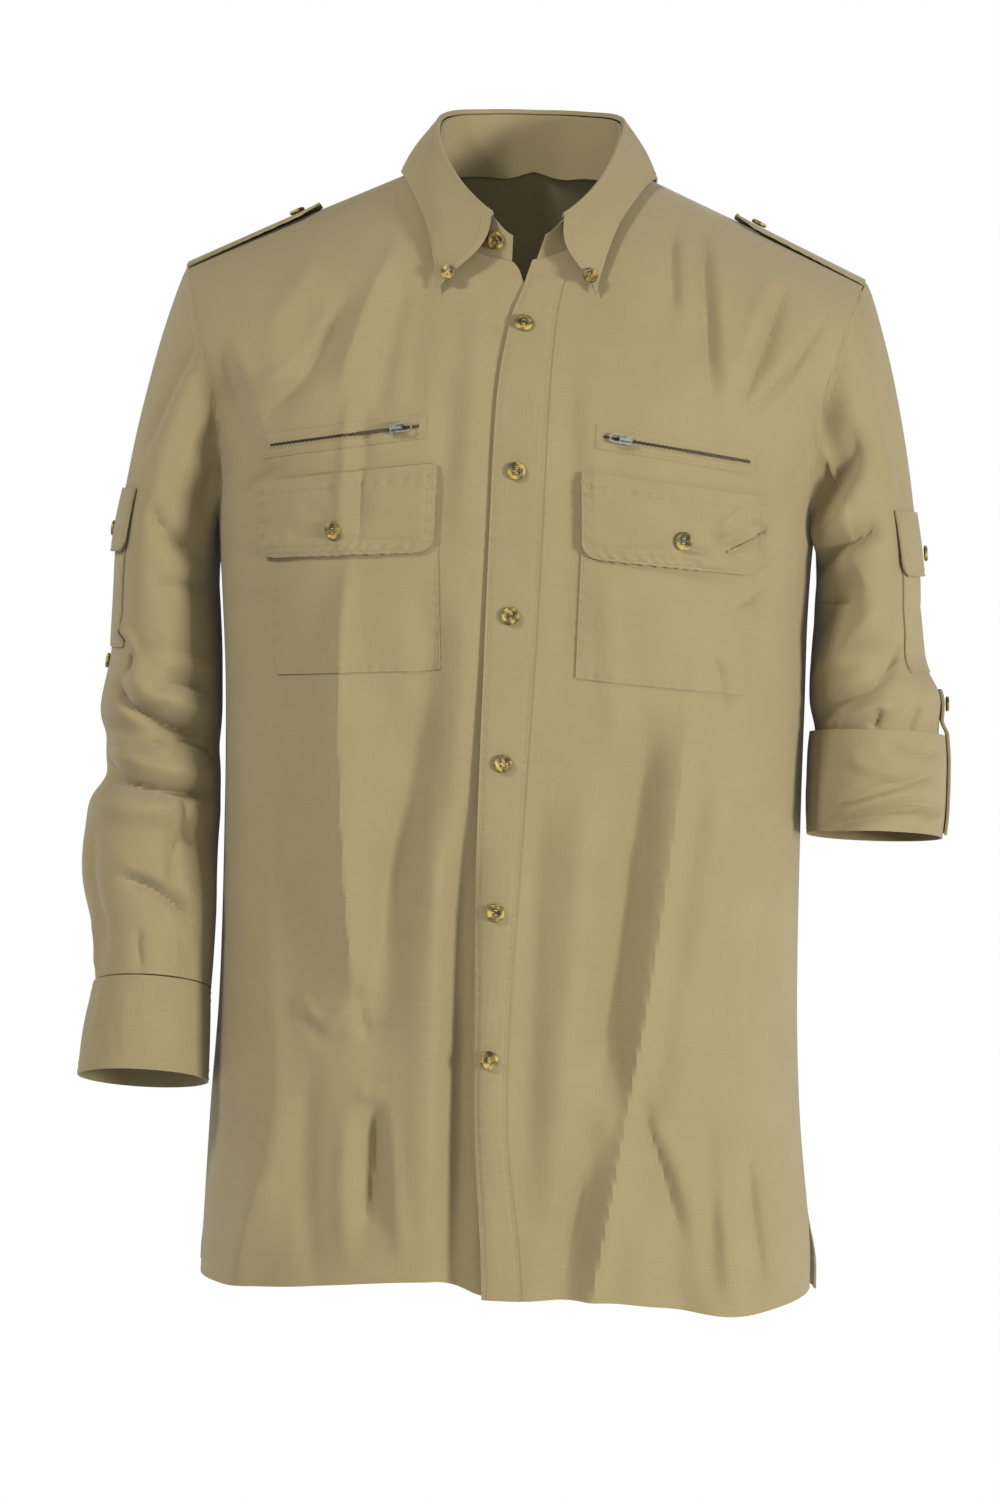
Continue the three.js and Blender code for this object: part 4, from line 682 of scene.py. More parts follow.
def stitch_line(group, points, normals):
    """Adds stitches along a line of points, standing a little out of the cloth."""
    run = running(points)
    count = int(run[-1] // STITCH["step"])
    if count < 2:
        return
    middles = (np.arange(count) + 0.5) * STITCH["step"]
    outward = unit(sample(middles, run, normals))
    ahead, behind = (sample(middles + way * STITCH["reach"], run, points) for way in (1, -1))
    along = unit(ahead - behind)
    side = unit(np.cross(outward, along))
    half, r = STITCH["long"] / 2, STITCH["radius"]
    shape = [(-half, 0, -STITCH_DIP * r)]
    for x in (-STITCH_FULL * half, STITCH_FULL * half):
        shape += [(x, r, 0), (x, 0, r), (x, -r, 0), (x, 0, -r)]
    shape.append((half, 0, -STITCH_DIP * r))
    centre = sample(middles, run, points) + outward * STITCH["lift"]
    verts = [centre + along * x + side * y + outward * z for x, y, z in shape]
    verts = np.stack(verts, axis=1).reshape(-1, 3)
    faces = [(0, 1 + (i + 1) % 4, 1 + i) for i in range(4)]
    faces += [(1 + i, 1 + (i + 1) % 4, 5 + (i + 1) % 4, 5 + i) for i in range(4)]
    faces += [(9, 5 + i, 5 + (i + 1) % 4) for i in range(4)]
    stitch_sets.setdefault(group, []).append((verts, faces, count, len(shape)))


def inset_row(rows, distance, axis, end):
    """Index position along an axis that lies a distance from one end, in millimetres."""
    run = lengths(rows, axis).mean(axis=1 - axis)
    if end == "high":
        return float(np.interp(distance, (run[-1] - run)[::-1], np.arange(len(run))[::-1]))
    return float(np.interp(distance, run, np.arange(len(run))))


def grid_line(group, rows, place, axis=0, closed=False, out=1):
    """Stitches along one row (axis 0) or column (axis 1) of a grid, at an index position."""
    normals = grid_normals(rows, closed, out)
    if axis:
        rows, normals = rows.swapaxes(0, 1), normals.swapaxes(0, 1)
    lo = int(np.floor(place))
    line, normal = lerp(rows[lo], rows[min(lo + 1, len(rows) - 1)], place - lo), normals[lo]
    if closed:
        line, normal = np.concatenate([line, line[:1]]), np.concatenate([normal, normal[:1]])
    stitch_line(group, line, normal)


def edge_lines(group, rows, distances, axis=0, ends=("low",), closed=False, out=1):
    """Rows of stitches at distances from the low or high ends of a grid."""
    for end in ends:
        for distance in distances:
            grid_line(group, rows, inset_row(rows, distance, axis, end), axis, closed, out)


def make_stitches():
    for group, parts in stitch_sets.items():
        verts, faces, start = [], [], 0
        for points, shape, count, size in parts:
            verts.append(points)
            for i in range(count):
                base = start + i * size
                faces += [tuple(base + k for k in face) for face in shape]
            start += count * size
        new_object(f"stitches_{group}", np.concatenate(verts), faces, THREAD, sharp=80)


# Camera at the photograph's place: about 3 m off, slightly above and to the wearer's left
CAMERA = {"target": (-8.0, 0.0, -404.0), "far": 3000.0, "yaw": 3.5, "lift": 2.6, "roll": 1.8}
MM_PER_PIXEL = 0.72
PHOTO_LONG_SIDE = 1499
SENSOR = 36.0


def make_camera():
    yaw, lift, roll = (math.radians(CAMERA[k]) for k in ("yaw", "lift", "roll"))
    away = Vector((math.sin(yaw) * math.cos(lift), -math.cos(yaw) * math.cos(lift), math.sin(lift)))
    target = Vector(CAMERA["target"])
    place = target + away * CAMERA["far"]
    right = (-away).cross(Vector((0, 0, 1))).normalized()
    up = right.cross(-away)
    turned_right = right * math.cos(roll) + up * math.sin(roll)
    turned_up = up * math.cos(roll) - right * math.sin(roll)
    data = bpy.data.cameras.new("camera")
    data.sensor_fit = "VERTICAL"
    data.sensor_height = SENSOR
    data.sensor_width = SENSOR
    data.lens = SENSOR * (CAMERA["far"] / MM_PER_PIXEL) / PHOTO_LONG_SIDE
    camera = bpy.data.objects.new("camera", data)
    matrix = Matrix((turned_right, turned_up, away)).transposed().to_4x4()
    matrix.translation = place * MM
    camera.matrix_world = matrix
    bpy.context.collection.objects.link(camera)
    bpy.context.scene.camera = camera


SURROUND = 1.0       # strength of the white surround behind the shirt, at the height of the horizon
SURROUND_FRONT = 0.5
SURROUND_LOW = 0.14  # overhead and underfoot
SURROUND_BAND = (0.42, 0.62)         # heights over which it dims
SURROUND_TURN = (-0.3, 0.35)         # depths over which it brightens from front to back
FLOOR = {"radius": 1.25, "z": -1.25, "sides": 96}     # metres, below the hanging shirt
AIM = (0, 0, -0.4)   # the middle of the shirt, in metres, where the lights point
LIGHTS = (
    ("right_box", (2.5, -1.9, -0.25), 0.5, 94, (1.0, 0.985, 0.95)),
    ("left_box", (-1.9, -1.8, 1.6), 0.5, 64, (1.0, 0.98, 0.94)),
    ("front_box", (0.3, -3.2, 0.4), 1.2, 12, (1.0, 0.97, 0.92)),
)


def make_surround():
    """White studio surround: bright round the horizon, dimmer above and below it."""
    world = bpy.data.worlds.new("surround")
    bpy.context.scene.world = world
    world.use_nodes = True
    nodes, links = world.node_tree.nodes, world.node_tree.links
    background = nodes["Background"]
    background.inputs["Color"].default_value = (1, 1, 1, 1)
    split = nodes.new("ShaderNodeSeparateXYZ")
    links.new(nodes.new("ShaderNodeTexCoord").outputs["Generated"], split.inputs[0])
    up = maths(nodes, links, "ABSOLUTE", split.outputs["Z"])
    band = map_range(nodes, links, up, *SURROUND_BAND, 1.0, SURROUND_LOW, kind="SMOOTHSTEP")
    depth = split.outputs["Y"]
    depth = map_range(nodes, links, depth, *SURROUND_TURN, SURROUND_FRONT, SURROUND, kind="SMOOTHSTEP")
    links.new(maths(nodes, links, "MULTIPLY", band, depth), background.inputs["Strength"])


def make_stage():
    """Pale floor below the shirt and soft studio light."""
    mesh = bpy.data.meshes.new("floor")
    turns = np.linspace(0, 2 * math.pi, FLOOR["sides"] + 1)[:-1]
    ring = [(FLOOR["radius"] * math.cos(a), FLOOR["radius"] * math.sin(a), FLOOR["z"]) for a in turns]
    mesh.from_pydata(ring, [], [tuple(range(FLOOR["sides"]))])
    mesh.materials.append(material("floor", (0.86, 0.86, 0.85), 0.9)[0])
    floor = bpy.data.objects.new("floor", mesh)
    bpy.context.collection.objects.link(floor)
    make_surround()
    for name, place, size, power, colour in LIGHTS:
        data = bpy.data.lights.new(name, "AREA")
        data.size = size
        data.energy = power
        data.color = colour
        light = bpy.data.objects.new(name, data)
        light.location = place
        light.rotation_euler = (Vector(AIM) - Vector(place)).to_track_quat("-Z", "Y").to_euler()
        bpy.context.collection.objects.link(light)


# Fronts
FRONT_TOP_START = {-1: 4.0, 1: 8.0}  # turn of the neckline where each front begins
FRONT_NECK_SHARE = 0.25              # share of a front's columns that end on the neckline


def neck_point(turn):
    return NECK_HALF * np.sin(np.radians(turn)), read(NECKLINE, "turn", turn)["tape"]


def inner_edge(z, sign):
    row = read(OVERLAP, "z", z)
    if sign > 0:
        return row["left"]
    return row["left"] - row["open"] + UNDERLAP * underlap_at(z)


def side_x(z, sign, side):
    row = read(TORSO, "z", z)
    spread = VENT_SPREAD * ease((VENT_TOP - z) / VENT_FADE) if side > 0 else 0
    return row["mid"] + sign * (row["half"] + spread)


FRONT_LOWER = 168    # rows of a front under the underarm line
BACK_LOWER = 148
FRONT_HEM_Z = -775.0
BACK_HEM_Z = -790.0
VENT_TURN = {-1: 0.05, 1: 0.045}     # how far front and back draw away from the side at the vent


def panel_reach(u, z, side):
    """Share of the way from the middle to the side, drawing away from it at the vent."""
    return np.sin(u * (math.pi / 2 - VENT_TURN[side] * ease((VENT_TOP - z) / VENT_FADE)))


def front_rows(sign, columns=96, lower=FRONT_LOWER, upper=70):
    u = np.linspace(0, 1, columns + 1)[None, :]
    v = np.linspace(1, 0, lower + 1)[:-1, None]
    fan = np.sin(u * math.pi / 2)
    low_x = lerp(inner_edge(FRONT_HEM_Z, sign), side_x(FRONT_HEM_Z, sign, -1), fan)
    z = lerp(UNDERARM_Z, read(HEM_FRONT, "x", low_x)["z"], v)
    x = lerp(inner_edge(z, sign), side_x(z, sign, -1), panel_reach(u, z, -1))
    low = front_at(sign, x, z)
    v = np.linspace(0, 1, upper + 1)[:, None]
    k = np.clip(u / FRONT_NECK_SHARE, 0, 1)
    neck_x, neck_tape = neck_point(lerp(FRONT_TOP_START[sign], NECK_CORNER, k))
    seam_out = read(ARMHOLE, "tape", YOKE_FRONT)["out"]
    corner_x, _ = neck_point(NECK_CORNER)
    t = (u - FRONT_NECK_SHARE) / (1 - FRONT_NECK_SHARE)
    on_neck = u <= FRONT_NECK_SHARE
    top_x = sign * np.where(on_neck, neck_x, lerp(corner_x, seam_out, t))
    top_tape = np.where(on_neck, -neck_tape, YOKE_FRONT) + SEAM
    side = side_x(UNDERARM_Z, sign, -1)
    base_x = lerp(inner_edge(UNDERARM_Z, sign), side, fan)
    side_tape = lerp(tape_of(side, UNDERARM_Z), YOKE_FRONT + SEAM, v)
    straight = lerp(side, sign * seam_out, v)
    x = lerp(base_x, top_x, v) + u**3 * (sign * read(ARMHOLE, "tape", side_tape)["out"] - straight)
    drop = drop_of(lerp(tape_of(base_x, UNDERARM_Z), top_tape, v))
    edge = (1 - u) ** 4 * (inner_edge(ridge_z(x) - drop, sign) - lerp(base_x[:, :1], top_x[:, :1], v))
    x = x + edge
    high = front_at(sign, x, ridge_z(x) - drop)
    rows = np.concatenate([low, high])
    rows[..., 1] = np.minimum(rows[..., 1], -SEAM)
    return rows


def back_rows(columns=122, lower=BACK_LOWER, upper=48):
    u = np.linspace(-1, 1, columns + 1)[None, :]
    sign = np.where(u < 0, -1, 1)
    fan = np.sin(np.abs(u) * math.pi / 2)
    v = np.linspace(1, 0, lower + 1)[:-1, None]
    low_x = lerp(read(TORSO, "z", BACK_HEM_Z)["mid"], side_x(BACK_HEM_Z, sign, 1), fan)
    z = lerp(UNDERARM_Z, read(HEM_BACK, "x", low_x)["z"], v)
    reach = panel_reach(np.abs(u), z, 1)
    row = read(TORSO, "z", z)
    x = lerp(row["mid"], side_x(z, sign, 1), reach)
    inside = lerp(row["mid"], row["mid"] + sign * row["half"], reach)
    low = np.stack([x, depth_at(1, inside, z), z], axis=-1)
    v = np.linspace(0, 1, upper + 1)[:, None]
    side = side_x(UNDERARM_Z, sign, 1)
    base_x = lerp(read(TORSO, "z", UNDERARM_Z)["mid"], side, fan)
    top_x = sign * BACK_SEAM_HALF * np.abs(u)
    top_tape = tape_of(top_x, YOKE_BACK_Z) + SEAM
    side_tape = lerp(tape_of(side, UNDERARM_Z), tape_of(BACK_SEAM_HALF, YOKE_BACK_Z) + SEAM, v)
    straight = lerp(side, sign * BACK_SEAM_HALF, v)
    x = lerp(base_x, top_x, v) + np.abs(u) ** 3 * (sign * read(ARMHOLE, "tape", side_tape)["out"] - straight)
    z = ridge_z(x) - drop_of(lerp(tape_of(base_x, UNDERARM_Z), top_tape, v))
    rows = np.concatenate([low, shell_at(1, x, z)])
    rows[..., 1] = np.maximum(rows[..., 1], SEAM)
    return rows


# Yoke: turns of the neckline at its columns, then the front seam out to the armhole
YOKE_TURNS = (180, 158, 136, 115, 92, NECK_CORNER)
YOKE_SPLIT = 5 / 11          # share of its half that ends on the neckline
YOKE_SEAM_OUT = 238.0


def yoke_rows(half=74, rows=64):
    k = np.linspace(0, 1, half + 1)
    near = np.clip(k / YOKE_SPLIT, 0, 1) * (len(YOKE_TURNS) - 1)
    turns = np.interp(near, range(len(YOKE_TURNS)), YOKE_TURNS)
    neck_x, neck_tape = neck_point(turns)
    corner_x, _ = neck_point(NECK_CORNER)
    far = np.clip((k - YOKE_SPLIT) / (1 - YOKE_SPLIT), 0, 1)
    top_x = np.where(k <= YOKE_SPLIT, neck_x, lerp(corner_x, YOKE_SEAM_OUT, far))
    top_tape = np.where(k <= YOKE_SPLIT, neck_tape, -YOKE_FRONT) + SEAM
    low_x = BACK_SEAM_HALF * k
    low_tape = tape_of(low_x, YOKE_BACK_Z) - SEAM
    w = np.linspace(0, 1, rows + 1)[:, None]
    run = lerp(low_tape[None, :], top_tape[None, :], w)
    straight = lerp(low_x[-1], top_x[-1], w)
    x = lerp(low_x[None, :], top_x[None, :], w)
    x = x + (k[None, :] ** 6) * (read(ARMHOLE, "tape", np.abs(run[:, -1:]))["out"] - straight)
    right = shell_tape(x, run)
    left = shell_tape(-x, run)[:, :0:-1]
    return np.concatenate([left, right], axis=1)


make_camera()
front = {sign: front_rows(sign) for _, sign in SIDES}
back = back_rows()
yoke = yoke_rows()


HEM_TALL = 23.0
HEM_LAYERS = 1.7     # thickness of the turned-up hem, in layers of cloth
TOPSTITCH = 2.2      # distance of a row of stitches from its edge
SECOND_ROW = 8.0     # distance of the second row, where there are two
TWO_ROWS = (TOPSTITCH, SECOND_ROW)
BOTH_ENDS = ("low", "high")


def hem_thickness(rows):
    """Cloth thickness with the turned-up hem at the bottom of a panel."""
    return np.where(lengths(rows, 0) < HEM_TALL, HEM_LAYERS * CLOTH, CLOTH)


for name, sign in SIDES:
    shell(f"front_{name}_cloth", front[sign], hem_thickness(front[sign]), out=sign, node=f"front_{name}")
    edge_lines("hem", front[sign], (HEM_TALL,), out=sign)
shell("back_cloth", back, hem_thickness(back), out=-1, node="back")
edge_lines("hem", back, (HEM_TALL,), out=-1)
shell("yoke_cloth", yoke, out=-1, node="yoke")
edge_lines("yoke", yoke, TWO_ROWS, out=-1)
for half in (yoke[:, : yoke.shape[1] * 3 // 11], yoke[:, yoke.shape[1] * 8 // 11:]):
    edge_lines("yoke", half, TWO_ROWS, ends=("high",), out=-1)

# Sleeves. Sections: inner and outer edge from the middle, centre depth, half depth, tilt
SLEEVE_NAMES = "z inner outer y deep tilt"
SLEEVE = {
    -1: table(
        SLEEVE_NAMES,
        (-292, 215, 288, -4, 74, 0), (-340, 211, 290, -6, 68, 2), (-390, 209, 296, -10, 63, 4),
        (-418, 208, 292, -14, 60, 7), (-452, 207.5, 300, -21, 60, 10), (-500, 207, 303, -32, 57, 13),
        (-545, 206, 292, -43, 52, 14), (-578, 206, 288, -52, 48, 15),
    ),
    1: table(
        SLEEVE_NAMES,
        (-292, 214, 288, -4, 74, 0), (-330, 212.5, 294, -7, 68, 2), (-362, 213, 304, -12, 66, 4),
        (-380, 217, 305, -16, 60, 5), (-400, 218, 305, -19, 58, 6), (-446, 217, 304, -26, 56, 7),
    ),
}
CUFF_RIGHT = table(
    SLEEVE_NAMES,
    (-578.7, 206, 289.5, -52.3, 47, 15), (-612, 204.5, 295, -60, 46, 15), (-643, 204, 297, -67, 46, 15),
)
ROLL_LEFT = table(
    SLEEVE_NAMES,
    (-383, 213.4, 310, -17, 64, 5), (-400, 212.4, 311.5, -20, 65, 6),
    (-436, 212.2, 311.5, -26, 64, 7), (-455, 213.4, 310, -29, 61.5, 7),
)
CUFF_LEFT = {key: values[1:3] for key, values in ROLL_LEFT.items()}
# Folds on the sleeves: height, turn from the outside towards the front, size
SLEEVE_FOLDS = {
    -1: (
        (-402, 60, 11, 75, -7), (-378, 100, 12, 60, 4), (-432, 20, 12, 70, -7), (-455, 95, 12, 70, 4),
        (-345, 70, 12, 50, -4), (-410, -120, 14, 60, -5), (-520, 150, 30, 30, 4),
    ),
    1: ((-352, 20, 13, 70, 5), (-330, 80, 12, 60, -4), (-310, -110, 14, 60, -4)),
}
# Creases on the sleeves, as on the body, in turn and height
SLEEVE_CREASES = {
    -1: (
        ((26, -318), (58, -334), (62, -352), 7, 6.8, SOFT),
        ((27, -324), (62, -344), (52, -366), 4.5, -8.1, CRISP),
        ((56, -346), (96, -372), (165, -386), 10, 8.1, SOFT),
        ((50, -358), (84, -389), (174, -405), 5, -12.2, CRISP),
        ((6, -408), (70, -414), (122, -404), 4, -5.4, CRISP),
        ((108, -408), (140, -410), (174, -420), 4, -6.1, CRISP),
        ((24, -404), (90, -428), (170, -430), 9, 8.1, SOFT),
        ((4, -412), (80, -445), (176, -441), 5, -12.2, CRISP),
        ((20, -446), (90, -464), (165, -458), 10, 4.9, SOFT),
        ((132, -448), (126, -468), (146, -488), 5, -6.8, CRISP),
        ((126, -468), (118, -500), (124, -532), 6, -4.1, CRISP),
        ((68, -512), (108, -521), (146, -546), 4.5, -6.8, CRISP),
        ((60, -500), (104, -510), (150, -528), 7, 4.3, SOFT),
        ((84, -296), (128, -292), (170, -300), 6, -4.1, CRISP),
        ((84, -354), (126, -351), (172, -357), 6, 4.1, SOFT),
        ((84, -374), (118, -365), (168, -375), 5, -4.9, CRISP),
        ((72, -234), (100, -256), (152, -274), 8, -6.8, CRISP),
        ((110, -110), (96, -180), (104, -240), 9, 4.6, SOFT),
        ((72, -90), (60, -150), (44, -218), 9, -4.9, CRISP),
        ((140, -150), (126, -200), (130, -250), 8, -4.1, SOFT),
        ((46, -470), (40, -520), (48, -570), 8, -4.1, SOFT),
        ((88, -545), (84, -560), (90, -578), 5, -3.2, CRISP),
        ((112, -548), (120, -562), (112, -578), 5, 3.0, SOFT),
        ((20, -530), (28, -555), (20, -578), 6, 3.2, SOFT),
        ((-60, -340), (-100, -368), (-150, -362), 8, -6.8, CRISP),
        ((-50, -372), (-95, -392), (-150, -388), 9, 5.4, SOFT),
        ((-50, -414), (-95, -432), (-156, -425), 7, -8.1, CRISP),
        ((-70, -462), (-110, -478), (-150, -468), 9, 4.1, SOFT),
        ((-100, -140), (-94, -200), (-106, -270), 10, -4.1, SOFT),
        ((-124, -510), (-115, -545), (-122, -577), 8, -4.1, SOFT),
        ((-60, -510), (-70, -545), (-64, -577), 7, 3.2, SOFT),
    ),
    1: (
        ((176, -212), (104, -200), (64, -156), 11, -9.4, SOFT),
        ((176, -244), (112, -228), (66, -188), 9, 5.2, SOFT),
        ((178, -276), (106, -247), (58, -236), 6, -8.7, CRISP),
        ((170, -262), (120, -240), (80, -222), 7, 3.8, SOFT),
        ((178, -322), (132, -292), (96, -268), 12, -8.7, SOFT),
        ((172, -352), (112, -318), (70, -280), 9, 5.8, SOFT),
        ((176, -380), (92, -352), (50, -310), 7, -7.2, CRISP),
        ((160, -384), (110, -372), (60, -362), 6, 4.3, SOFT),
        ((140, -384), (132, -378), (128, -368), 4, -4.3, CRISP),
        ((96, -384), (92, -376), (86, -366), 4, -4.3, CRISP),
        ((60, -384), (56, -374), (46, -364), 4, -4.3, CRISP),
        ((30, -384), (24, -372), (20, -360), 5, -3.8, SOFT),
        ((40, -120), (34, -180), (36, -222), 8, -3.8, SOFT),
        ((-50, -306), (-90, -330), (-146, -322), 8, -7.2, CRISP),
        ((-60, -346), (-100, -364), (-150, -358), 8, 5.2, SOFT),
        ((-100, -140), (-100, -200), (-112, -270), 10, -4.3, SOFT),
    ),
}


SLEEVE_ROUND = 55.0  # radius that stands for a sleeve's, for its rumples


def rumple_round(a, z, seed, lean=(0.4, -0.6), size=11):
    """Rumpled surface of a sleeve at angles round it and heights."""
    return ripple(SLEEVE_ROUND * np.cos(a) + lean[0] * z, SLEEVE_ROUND * np.sin(a) + lean[1] * z, seed, size)


def section_points(sign, row, z, turn, folds=(), creases=(), rough=0.0, seed=0):
    a = np.radians(turn)
    half = (row["outer"] - row["inner"]) / 2
    swell = np.zeros(np.broadcast(z, turn).shape)
    for fold_z, fold_turn, tall, span, high in folds:
        away = np.abs((turn - fold_turn + 540) % 360 - 180) / span
        swell = swell + high * np.exp(-(((z - fold_z) / tall) ** 2) - away * away)
    swell = swell + crease_height(creases, turn, z, 360)
    if rough:
        fine = rumple_round(a, z, seed + 1, (-1, 0.8), 5)
        swell = swell + rough * (rumple_round(a, z, seed) + 0.4 * fine)
    grow = 1 + swell / np.maximum(half, row["deep"])
    x = (row["outer"] + row["inner"]) / 2 + half * np.cos(a) * grow
    dy = -row["deep"] * np.sin(a) * grow
    z = z - dy * np.tan(np.radians(row["tilt"]))
    return np.stack(np.broadcast_arrays(sign * x, row["y"] + dy, z), axis=-1)


SLEEVE_COLUMNS = 168
SLEEVE_TOP_ROWS = 60
SLEEVE_STEPS = {-1: 128, 1: 74}
SLEEVE_ROUGH = 0.5
SLEEVE_SEED = 40
ARMHOLE_ROUND = 550.0        # length of the armhole seam, for its puckers
ARMHOLE_PUCKER = 1.5
PUCKER_START, PUCKER_REACH = 3.0, 11.0
UNDERARM_OUT = 0.4           # the lowest point of the armhole lies this far outside the panels
HEAD_FLAT, HEAD_SIDE = 7.0, 10.0     # how far the sleeve's head runs straight on, and more at front and back


def armhole_loop(sign):
    """Points round the armhole, from under the arm up the front and down the back."""
    upper, top_back = front[sign][FRONT_LOWER:], back[BACK_LOWER:]
    edge, inside = (
        np.concatenate([upper[1:, a], yoke[-2::-1, b], top_back[-2:0:-1, b]])
        for a, b in ((-1, -1 if sign > 0 else 0), (-8, -8 if sign > 0 else 7))
    )
    way = unit(edge - inside)
    under = upper[0, -1]
    start = np.array([[under[0] + sign * UNDERARM_OUT, 0, under[2]]])
    at = np.concatenate([start, edge + way * SEAM, start])
    down = unit(np.array([[sign, 0, -0.4]]))
    way = np.concatenate([down, way, down])
    run = running(at)
    return at, way, run / run[-1]


def sleeve_rows(sign):
    loop, loop_way, share = armhole_loop(sign)
    spots = np.arange(SLEEVE_COLUMNS) / SLEEVE_COLUMNS
    at, way = sample(spots, share, loop), unit(sample(spots, share, loop_way))
    turn = (180 - 360 * spots)[None, :]
    sections, folds, creases = SLEEVE[sign], SLEEVE_FOLDS[sign], SLEEVE_CREASES[sign]
    z = np.linspace(sections["z"][-1], sections["z"][0], SLEEVE_STEPS[sign] + 1)[:, None]
    row = read(sections, "z", z)
    body = section_points(sign, row, z, turn, folds, creases, SLEEVE_ROUGH, SLEEVE_SEED + sign)
    target = section_points(sign, read(sections, "z", z[:1]), z[:1], turn, folds)[0]
    gap = np.linalg.norm(at - target, axis=1)[:, None]
    side = np.sin(np.radians(turn[0]))[:, None] ** 2
    c1 = at + way * np.minimum(HEAD_FLAT + HEAD_SIDE * side, gap * 0.3)
    c2 = target + np.array([0, 0, 1]) * gap * 0.4
    t = (np.arange(SLEEVE_TOP_ROWS) / SLEEVE_TOP_ROWS)[:, None, None]
    top = (1 - t) ** 3 * at + 3 * t * (1 - t) ** 2 * c1 + 3 * t**2 * (1 - t) * c2 + t**3 * target
    normals = grid_normals(top, True, -sign, way)
    rough = SLEEVE_ROUGH * rumple_round(np.radians(turn), top[..., 2], SLEEVE_SEED + sign)
    swell = crease_height(creases, np.broadcast_to(turn, top.shape[:2]), top[..., 2], 360) + rough
    from_seam = t[..., 0] * gap[:, 0]
    waves = ARMHOLE_PUCKER * ripple(ARMHOLE_ROUND * spots, 3 * from_seam, 60 + sign, 3.0)
    waves = waves * ease(from_seam / PUCKER_START) * np.exp(-((from_seam / PUCKER_REACH) ** 2))
    top = top + normals * (swell * ease(t[..., 0] * 4) + waves)[..., None]
    return np.concatenate([top, body]), way


TUBE_COLUMNS = 120
TUBE_SEED = 70


def tube_rows(sign, sections, rows, inset=0.0, creases=(), rough=0.0):
    """Rings of a cuff or roll, drawn in all round by the inset."""
    z = np.linspace(sections["z"][-1], sections["z"][0], rows + 1)[:, None]
    row = read(sections, "z", z)
    row = {**row, "inner": row["inner"] + inset, "outer": row["outer"] - inset, "deep": row["deep"] - inset}
    turn = (180 - 360 * np.arange(TUBE_COLUMNS) / TUBE_COLUMNS)[None, :]
    return section_points(sign, row, z, turn, (), creases, rough, TUBE_SEED)


sleeve = {}
for name, sign in SIDES:
    sleeve[sign], way = sleeve_rows(sign)
    shell(
        f"sleeve_{name}_cloth", sleeve[sign], closed=True, out=-sign, node=f"sleeve_{name}",
        start_way=way,
    )
    edge_lines("armholes", sleeve[sign][:20], TWO_ROWS, closed=True, out=-sign)

CUFF_CREASES = (
    ((40, -584), (46, -600), (42, -625), 5, 1.0, SOFT),
    ((120, -582), (110, -605), (116, -636), 5, -1.0, SOFT),
    ((80, -590), (76, -612), (84, -640), 5, 0.9, SOFT),
    ((-80, -584), (-86, -610), (-80, -636), 5, -0.9, SOFT),
)
ROLL_CREASES = (
    ((150, -456), (88, -443), (18, -432), 5, -5.9, CRISP),
    ((146, -446), (86, -426), (28, -410), 5, -4.5, CRISP),
    ((148, -450), (92, -434), (30, -420), 5, 3.6, SOFT),
    ((92, -392), (60, -399), (18, -393), 4, -3.6, CRISP),
    ((120, -400), (96, -412), (60, -416), 5, 2.5, SOFT),
    ((62, -453), (40, -446), (14, -440), 4, 3.4, SOFT),
    ((-60, -450), (-90, -430), (-120, -410), 5, 3.4, SOFT),
    ((-30, -395), (-60, -402), (-90, -392), 4, -3.1, CRISP),
    ((-100, -452), (-120, -436), (-150, -428), 5, -3.6, CRISP),
    ((149, -380), (149, -420), (149, -458), 1.6, -2.2, CRISP),
)
cuff = tube_rows(-1, CUFF_RIGHT, 40, creases=CUFF_CREASES, rough=0.25)
roll = tube_rows(1, ROLL_LEFT, 48, creases=ROLL_CREASES, rough=0.7)
inner_cuff = tube_rows(1, CUFF_LEFT, 12, 2.0)
shell("cuff_right_cloth", cuff, 1.7, True, 1, CLOTH_DOUBLE, "cuff_right")
shell("roll_left_cloth", roll, 1.5, True, -1, CLOTH_DOUBLE, "sleeve_left_roll")
shell("cuff_left_cloth", inner_cuff, CLOTH, True, -1, CLOTH_DOUBLE, "cuff_left")
ROLL_STITCH = 4.0
ROLL_EDGE = 0.097    # place of the rolled cuff's overlapping edge round the roll
edge_lines("cuffs", cuff, TWO_ROWS, ends=BOTH_ENDS, closed=True)
edge_lines("cuffs", roll, (ROLL_STITCH,), ends=("high",), closed=True, out=-1)
grid_line("cuffs", roll, ROLL_EDGE * roll.shape[1], axis=1, out=-1)

# Placket with its two rows of stitches, and the button stand behind it
PLACKET_TOP = -72.0
PLACKET_RISE = 0.95  # height of its face over the front
PLACKET_SINK = 0.35  # its outer edge is pulled this much lower
STAND_BEHIND = 3.0
STAND_UNDER = 9.0
PATCH_GAP = 0.35     # space between a panel and what is sewn on it
DIP, DIP_HALF = 0.5, 1.1     # the dip that a row of stitches pulls into the cloth
PUCKER_HALF = 3.2
hem_middle = float(read(HEM_FRONT, "x", 7.0)["z"])


def sewn(run, distance, lines=(TOPSTITCH,), size=0.4):
    """Height of the dip and puckers along rows of stitches, at distances from an edge."""
    wave = np.sin(run / 1.35 + 1.7 * np.sin(run / 9.1)) * (0.6 + 0.4 * np.sin(run / 23.0))
    dips = sum(DIP * np.exp(-(((distance - line) / DIP_HALF) ** 2)) for line in lines)
    return sum(size * wave * np.exp(-(((distance - line) / PUCKER_HALF) ** 2)) for line in lines) - dips


def nearest(*distances):
    return np.min(np.broadcast_arrays(*distances), axis=0)


